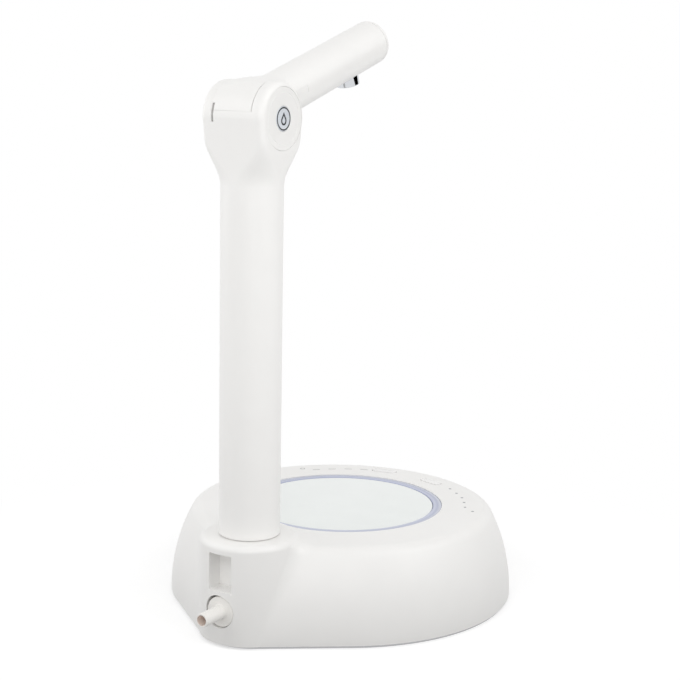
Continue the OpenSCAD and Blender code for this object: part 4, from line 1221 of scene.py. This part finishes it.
    def build_drop(self, place: Matrix, face: float) -> None:
        """A plain drop printed on the inlay in outline.

        Args:
            place: frame of the inlay, whose face looks along +X.
            face: distance of that face from the middle, mm.
        """
        lean = math.acos(self.drop_r / self.drop_tip)
        right = math.pi / 2 - lean
        outline = [(0.0, self.drop_tip), *arc((0.0, 0.0), self.drop_r, right, -math.pi - right, 40)]
        hollow = 1 - self.drop_line / self.drop_r
        middle = Matrix.Translation((face, 0, (self.drop_r - self.drop_tip) / 2)) @ sideways()
        drop = prism("badge_drop", outline, self.print_low, self.drop_rise, middle)
        cut(drop, prism("drop_tool", [(x * hollow, y * hollow) for x, y in outline], -1.0, 1.0, middle))
        dress(settle(drop, place), DARK_INK, "mark_grey", Body.STAND)

    def build(self) -> None:
        """Makes every piece of the column."""
        self.build_shaft()
        self.build_covers()


@dataclass
class Arm:
    """Spout arm: barrel and tube in one skin, end cap and chrome outlet. Lengths in mm.

    Places are x across, s along the arm and h up, from the hinge axis.
    """

    tube_r: float = 10.5
    rise: float = 3.5
    length: float = 103.0
    cap_l: float = 3.0
    cap_edges: tuple[float, float] = (0.2, 2.2)
    seam: float = 0.15
    seam_edge: float = 0.25
    skin_r: float = 15.9
    core_r: float = 14.2
    halves: tuple[float, float] = (10.3, 10.92)
    draft: float = 0.32
    stock_half: float = 13.0
    blend: float = 7.5
    # The saddle's blend grows from this slope on, over this much more
    crown: tuple[float, float] = (0.1, 0.6)
    back_angle: float = 11.3
    front_angle: float = 150.0
    hose_slot: tuple[Point, ...] = ((-12.4, 6.6), (15.2, 0.0), (15.2, -17.0), (-12.4, -17.0))
    hose_half: float = 3.2
    nozzle_s: float = 77.0
    nozzle_r: float = 5.75
    nozzle_wall: float = 1.3
    nozzle_top: float = -0.5
    nozzle_drop: float = 3.0
    nozzle_gap: float = 0.12
    nozzle_edges: tuple[float, float] = (0.45, 0.55)
    spokes: int = 120

    def field(self, x: Array, s: Array, h: Array) -> Array:
        """Distance to tube and barrel with the saddle between them on top.

        Args:
            x: places across.
            s: places along the arm.
            h: heights.

        Returns:
            The distances; negative inside.
        """
        reach = np.hypot(x, h - self.rise)
        tube = np.maximum(reach - self.tube_r, -s)
        draft = self.draft * (x + self.halves[0]) / sum(self.halves)
        barrel = np.maximum(np.hypot(s, h) - self.skin_r - draft, np.abs(x) - self.stock_half)
        slope = (h - self.rise) / np.maximum(reach, 1e-6)
        crown = np.clip((slope - self.crown[0]) / self.crown[1], 0.0, 1.0)
        return joined(tube, barrel, self.blend * crown * crown * (3 - 2 * crown))

    def skin(self) -> Piece:
        """Lofted skin of the arm from the back of the barrel to the seam of the end cap.

        Returns:
            The closed skin.
        """
        end = self.length - self.cap_l - self.seam
        barrel_start = 0.12
        near = -self.skin_r * np.cos(np.linspace(barrel_start, math.pi / 2, 40))
        saddle, tube = np.linspace(0.4, 34.0, 76), np.linspace(40.0, end - self.seam_edge, 8)
        levels = np.concatenate([near, saddle, tube])
        turn = np.linspace(0.0, 2 * math.pi, self.spokes, endpoint=False)
        s = np.repeat(levels[:, None], self.spokes, axis=1)
        eye = self.rise * np.clip(levels / 10.0, 0.0, 1.0)[:, None]
        reach = surface_reach(lambda t: self.field(t * np.cos(turn), s, eye + t * np.sin(turn)),
                              s.shape, 40.0)
        rows = np.stack([reach * np.cos(turn), -s, eye + reach * np.sin(turn)], axis=-1)
        last = rows[-1].copy()
        axis, smaller = [0, self.rise], 1 - self.seam_edge / self.tube_r
        last[:, [0, 2]] = (last[:, [0, 2]] - axis) * smaller + axis
        last[:, 1] = -end
        rows = np.concatenate([rows, last[None]])
        piece = laid_grid("arm_tube", np.concatenate([rows, rows[:, :1]], axis=1))
        close_up(piece)
        return piece

    def below_skin(self) -> Piece:
        """Tool that takes the barrel down to its core below the cover's edges.

        Returns:
            The tool.
        """
        wide, far = 15.0, 26.0
        section = ((-wide, self.core_r), (wide, self.core_r), (wide, far), (-wide, far), (-wide, self.core_r))
        first, last = self.front_angle + ARM_TILT, 360.0 + self.back_angle + ARM_TILT
        rows = [[(x, r * math.cos(a), r * math.sin(a)) for x, r in section]
                for a in np.radians(np.linspace(first, last, 113))]
        tool = laid_grid("skin_tool", np.array(rows))
        close_up(tool)
        cut(tool, rod(self.tube_r + 0.02, (0, -60.0, self.rise), 60.0, Axis.Y))
        return tool

    def build_tube(self) -> None:
        """Arm with its barrel, the slot of the hose and the hole of the outlet."""
        arm = self.skin()
        side = sideways()
        slit = side_slit()
        slit.data.transform(Matrix.Rotation(math.radians(ARM_TILT), 4, "X"))
        room, past = oblong(-30.0, 30.0, -30.0, 30.0), 20.0
        ends = [prism("end_tool", room, low, high, side)
                for low, high in ((-past, -self.halves[0]), (self.halves[1], past))]
        hose = prism("hose_tool", self.hose_slot, -self.hose_half, self.hose_half, side)
        outlet = rod(self.nozzle_r + self.nozzle_gap, (0, -self.nozzle_s, -20.0), 19.0, Axis.Z)
        cut(arm, *ends, self.below_skin(), slit, hose, outlet)
        dress(settle(arm, on_arm()), HOUSING, "white_housing", Body.ARM, "arm_shell")

    def build_end(self) -> None:
        """End cap with a soft edge."""
        flat = oblong(0, self.tube_r, self.length - self.cap_l, self.length)
        cap = turned("arm_end", rounded(flat, [0, *self.cap_edges, 0], 10), Axis.Y)
        cap.data.transform(Matrix.Rotation(math.pi, 4, "Z"))
        place = on_arm() @ Matrix.Translation((0, 0, self.rise))
        dress(settle(cap, place), COVER, "white_cover", Body.ARM, "arm_end_cap")

    def build_outlet(self) -> None:
        """Chrome outlet with a rolled lip."""
        tip = self.rise - self.tube_r - self.nozzle_drop
        wall = oblong(self.nozzle_r - self.nozzle_wall, self.nozzle_r, tip, self.nozzle_top)
        outlet = turned("outlet_sleeve", rounded(wall, [*self.nozzle_edges, 0, 0], 8))
        place = on_arm() @ Matrix.Translation((0, -self.nozzle_s, 0))
        dress(settle(outlet, place), CHROME, "chrome", Body.ARM, "nozzle_sleeve")

    def build(self) -> None:
        """Makes every piece of the arm."""
        self.build_tube()
        self.build_end()
        self.build_outlet()


@dataclass
class HingeHose:
    """Stretch of the water hose across the hinge, drawn for the raised arm. Lengths in mm about the hinge
    axis.
    """

    radius: float = 2.35
    bore: float = 1.65
    # In the column as places back and up, and in the raised arm as places along and up
    column_route: tuple[Point, ...] = ((10.7, -13.85), (10.7, -9.0), (7.0, -4.5), (0.0, 0.0))
    arm_route: tuple[Point, ...] = ((6.5, 0.0), (13.1, 3.5), (15.95, 3.5))
    rings: int = 60
    spokes: int = 32
    easings: int = 8

    def corners(self) -> Array:
        """Corners of the route in the hinge's upright frame.

        Returns:
            Places back and up, one row each.
        """
        tilt = math.radians(ARM_TILT)
        raised = [(h * math.sin(tilt) - s * math.cos(tilt), h * math.cos(tilt) + s * math.sin(tilt))
                  for s, h in self.arm_route]
        return np.array([*self.column_route, *raised])

    def route(self) -> Array:
        """The route with its corners eased.

        Returns:
            Points back and up, one row each, mm.
        """
        corners = self.corners()
        along = np.concatenate([[0.0], np.cumsum(np.linalg.norm(np.diff(corners, axis=0), axis=1))])
        wanted = np.linspace(0.0, along[-1], self.rings)
        line = np.stack([np.interp(wanted, along, corners[:, i]) for i in range(2)], axis=1)
        for _ in range(self.easings):
            line[1:-1] = (line[:-2] + 2 * line[1:-1] + line[2:]) / 4
        return line

    def skin(self, radius: float) -> Array:
        """Rings of points round the route.

        Args:
            radius: distance from the route, mm.

        Returns:
            Points as an array of rings, points and xyz, mm.
        """
        line = self.route()
        way = np.gradient(line, axis=0)
        way /= np.linalg.norm(way, axis=1, keepdims=True)
        turn = np.linspace(0.0, 2 * math.pi, self.spokes + 1)
        out = radius * np.sin(turn)
        across = np.broadcast_to(radius * np.cos(turn), (self.rings, self.spokes + 1))
        back = line[:, None, 0] - out * way[:, None, 1]
        up = line[:, None, 1] + out * way[:, None, 0]
        return np.stack([across, back, up], axis=-1)

    def build(self) -> None:
        """Makes the hose with its bore, running from the column into the raised arm."""
        outside, inside = self.skin(self.radius), self.skin(self.bore)
        hose = laid_grid("bending_hose", np.concatenate([outside, inside[::-1], outside[:1]]))
        close_up(hose)
        settle(hose, on_hinge())
        hose.data.materials.clear()
        hose.data.materials.append(HOSE.material())
        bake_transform(hose)
        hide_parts("hinge_hose")
        LOG.info("%s: %d faces across the hinge", hose.name, len(hose.data.polygons))


@dataclass
class Studio:
    """Camera, floor and soft light. Places in mm in the row frame."""

    camera: Place = (-385.95, 592.63, 257.79)
    azimuth: float = 212.648
    elevation: float = 10.384
    roll: float = 1.094
    lens: float = 78.70
    sensor: float = 36.0
    view_end: float = 20.0
    floor_size: float = 30.0
    # Colour of the floor that lights the part, near it and far off, and where that changes, in metres
    floor_pale: tuple[float, float] = (0.35, 0.92)
    pale_reach: tuple[float, float] = (0.12, 0.35)
    # Floor in view: own glow and colour under light near the part, and where plain white takes over
    floor_glow: float = 0.50
    floor_lit: float = 0.60
    shadow_reach: tuple[float, float] = (0.13, 0.24)
    # Painted shadow under the base: its inset from the rim, its thickness and its grey
    patch_inset: float = 1.0
    patch_t: float = 0.1
    painted_shadow_colour: str = "#AEAEB0"
    outlet: Place = (0.0, -11.8, 251.6)
    card_way: Place = (-0.86, -0.51, 0.0)
    card_away: float = 160.0
    # Width and height of the card, in metres
    card_size: tuple[float, float] = (0.22, 0.08)
    sky: float = 0.615
    aim: Place = (0.0, 0.0, 100.0)
    # Lamps by name, place, width in metres and power in watts
    lamps: tuple[tuple[str, Place, float, float], ...] = (
        ("key", (-620.0, -30.0, 560.0), 0.7, 1.72),
        ("back", (320.0, 620.0, 600.0), 0.6, 0.6),
        ("camera_side", (-350.0, 650.0, 420.0), 0.5, 0.95),
        ("left", (800.0, 300.0, 450.0), 0.7, 1.45),
    )

    def build_camera(self) -> None:
        """Camera at the photograph's angle."""
        turn, tip, roll = (math.radians(v) for v in (self.azimuth, self.elevation, self.roll))
        back = Vector((math.sin(turn) * math.cos(tip), -math.cos(turn) * math.cos(tip), math.sin(tip)))
        right = Vector((math.cos(turn), math.sin(turn), 0.0))
        up = back.cross(right)
        across = right * math.cos(roll) + up * math.sin(roll)
        high = up * math.cos(roll) - right * math.sin(roll)
        eye = bpy.data.objects.new("camera", bpy.data.cameras.new("camera"))
        bpy.context.scene.collection.objects.link(eye)
        eye.data.lens = self.lens
        eye.data.sensor_width = self.sensor
        eye.data.clip_end = self.view_end
        axes = Matrix((across, high, back)).transposed().to_4x4()
        eye.matrix_world = Matrix.Translation(Vector(self.camera) * MM) @ axes
        bpy.context.scene.camera = eye

    @staticmethod
    def white_to_camera(tree: Tree) -> Socket:
        """Tells the rays that should see white from those that only bring light.

        Args:
            tree: the floor's or the world's node tree.

        Returns:
            1 for camera, glossy and transmission rays, and 0 for others.
        """
        path = node(tree, "ShaderNodeLightPath").outputs
        most = {"operation": "MAXIMUM"}
        first = node(tree, "ShaderNodeMath", most, in0=path["Is Camera Ray"], in1=path["Is Glossy Ray"])
        return node(tree, "ShaderNodeMath", most, in0=first.outputs[0],
                    in1=path["Is Transmission Ray"]).outputs[0]

    def white_floor(self, tree: Tree, away: Socket) -> Socket:
        """White that keeps the shadow close to the part.

        Args:
            tree: the floor's node tree.
            away: distance from the part's middle, in metres.

        Returns:
            The shader: half glow and half light near the part, plain white further off.
        """
        glow = node(tree, "ShaderNodeEmission", Color=WHITE, Strength=self.floor_glow)
        lit = node(tree, "ShaderNodeBsdfDiffuse", Color=(*[self.floor_lit] * 3, 1.0))
        near = node(tree, "ShaderNodeAddShader", in0=glow.outputs[0], in1=lit.outputs[0])
        plain = node(tree, "ShaderNodeEmission", Color=WHITE, Strength=1.0)
        first, last = self.shadow_reach
        far = node(tree, "ShaderNodeMapRange", Value=away, From_Min=first, From_Max=last)
        return node(tree, "ShaderNodeMixShader", Fac=far.outputs["Result"], in1=near.outputs[0],
                    in2=plain.outputs[0]).outputs[0]

    def build_floor(self) -> None:
        """Floor that looks white and lights the part from below."""
        floor = primitive("floor", bpy.ops.mesh.primitive_plane_add, size=self.floor_size)
        paint = bpy.data.materials.new("floor_pale")
        tree = emptied(paint)
        coords = node(tree, "ShaderNodeTexCoord").outputs["Object"]
        away = node(tree, "ShaderNodeVectorMath", {"operation": "LENGTH"}, in0=coords).outputs["Value"]
        first, last = self.pale_reach
        pale = node(tree, "ShaderNodeMapRange", Value=away, From_Min=first, From_Max=last,
                    To_Min=self.floor_pale[0], To_Max=self.floor_pale[1])
        matt = node(tree, "ShaderNodeBsdfDiffuse", Color=pale.outputs["Result"])
        mixed = node(tree, "ShaderNodeMixShader", Fac=self.white_to_camera(tree), in1=matt.outputs[0],
                     in2=self.white_floor(tree, away))
        node(tree, "ShaderNodeOutputMaterial", Surface=mixed.outputs[0])
        floor.data.materials.append(paint)

    @staticmethod
    def even(name: str, colour: str) -> bpy.types.Material:
        """Material of one even colour that no light changes.

        Args:
            name: name of the material.
            colour: sRGB hex colour.

        Returns:
            The material.
        """
        made = bpy.data.materials.new(name)
        tree = emptied(made)
        glow = node(tree, "ShaderNodeEmission", Color=linear(colour), Strength=1.0)
        node(tree, "ShaderNodeOutputMaterial", Surface=glow.outputs[0])
        return made

    def build_painted_shadow(self) -> None:
        """Painted shadow: a grey patch of floor that no light changes, just inside the base's rim."""
        patch = prism("floor_patch", Base().rim(self.patch_inset), -self.patch_t / 2, self.patch_t / 2)
        patch.data.transform(Matrix.Scale(MM, 4) @ Matrix.Translation((0.0, -MID_Y, 0.0)))
        patch.data.materials.append(self.even("floor_shaded", self.painted_shadow_colour))

    def build_card(self) -> None:
        """Black card that only the bright metal mirrors."""
        card = primitive("dark_card", bpy.ops.mesh.primitive_plane_add, size=1.0)
        way = Vector(self.card_way)
        turn = way.to_track_quat("Z", "Y").to_matrix().to_4x4()
        middle = Matrix.Translation((Vector(self.outlet) + way * self.card_away) * MM)
        card.data.transform(middle @ turn @ Matrix.Diagonal((*self.card_size, 1.0, 1.0)))
        card.data.materials.append(self.even("card_black", "#000000"))
        for kind in ("camera", "diffuse", "shadow", "transmission"):
            setattr(card, f"visible_{kind}", False)

    def build_light(self) -> None:
        """Soft lamps and a pale sky."""
        for name, place, size, power in self.lamps:
            lamp = bpy.data.lights.new(name, "AREA")
            lamp.shape = "DISK"
            lamp.size = size
            lamp.energy = power
            made = bpy.data.objects.new(name, lamp)
            bpy.context.scene.collection.objects.link(made)
            where = Vector(place) * MM
            turn = (where - Vector(self.aim) * MM).to_track_quat("Z", "Y").to_matrix().to_4x4()
            made.matrix_world = Matrix.Translation(where) @ turn
        world = bpy.data.worlds.new("studio")
        bpy.context.scene.world = world
        tree = emptied(world)
        sky = node(tree, "ShaderNodeBackground", Color=WHITE, Strength=self.sky)
        white = node(tree, "ShaderNodeBackground", Color=WHITE, Strength=1.0)
        mixed = node(tree, "ShaderNodeMixShader", Fac=self.white_to_camera(tree), in1=sky.outputs[0],
                     in2=white.outputs[0])
        node(tree, "ShaderNodeOutputWorld", Surface=mixed.outputs[0])

    def build(self) -> None:
        """Makes the studio."""
        bpy.context.scene.view_settings.view_transform = "Standard"
        self.build_camera()
        self.build_floor()
        self.build_painted_shadow()
        self.build_card()
        self.build_light()


def dress_nodes() -> None:
    """Gives the CAD nodes that stay in view or inside their finishes."""
    for name, finish in NODE_FINISHES.items():
        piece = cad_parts[name]
        piece.data.materials.clear()
        piece.data.materials.append(finish.material())


def main() -> None:
    """Builds the studio and every piece in order."""
    logging.basicConfig(level=logging.INFO, format="%(name)s %(message)s")
    Studio().build()
    for assembly in (Base(), Column(), Arm(), HingeHose()):
        assembly.build()
    dress_nodes()


if __name__ == "__main__":
    main()
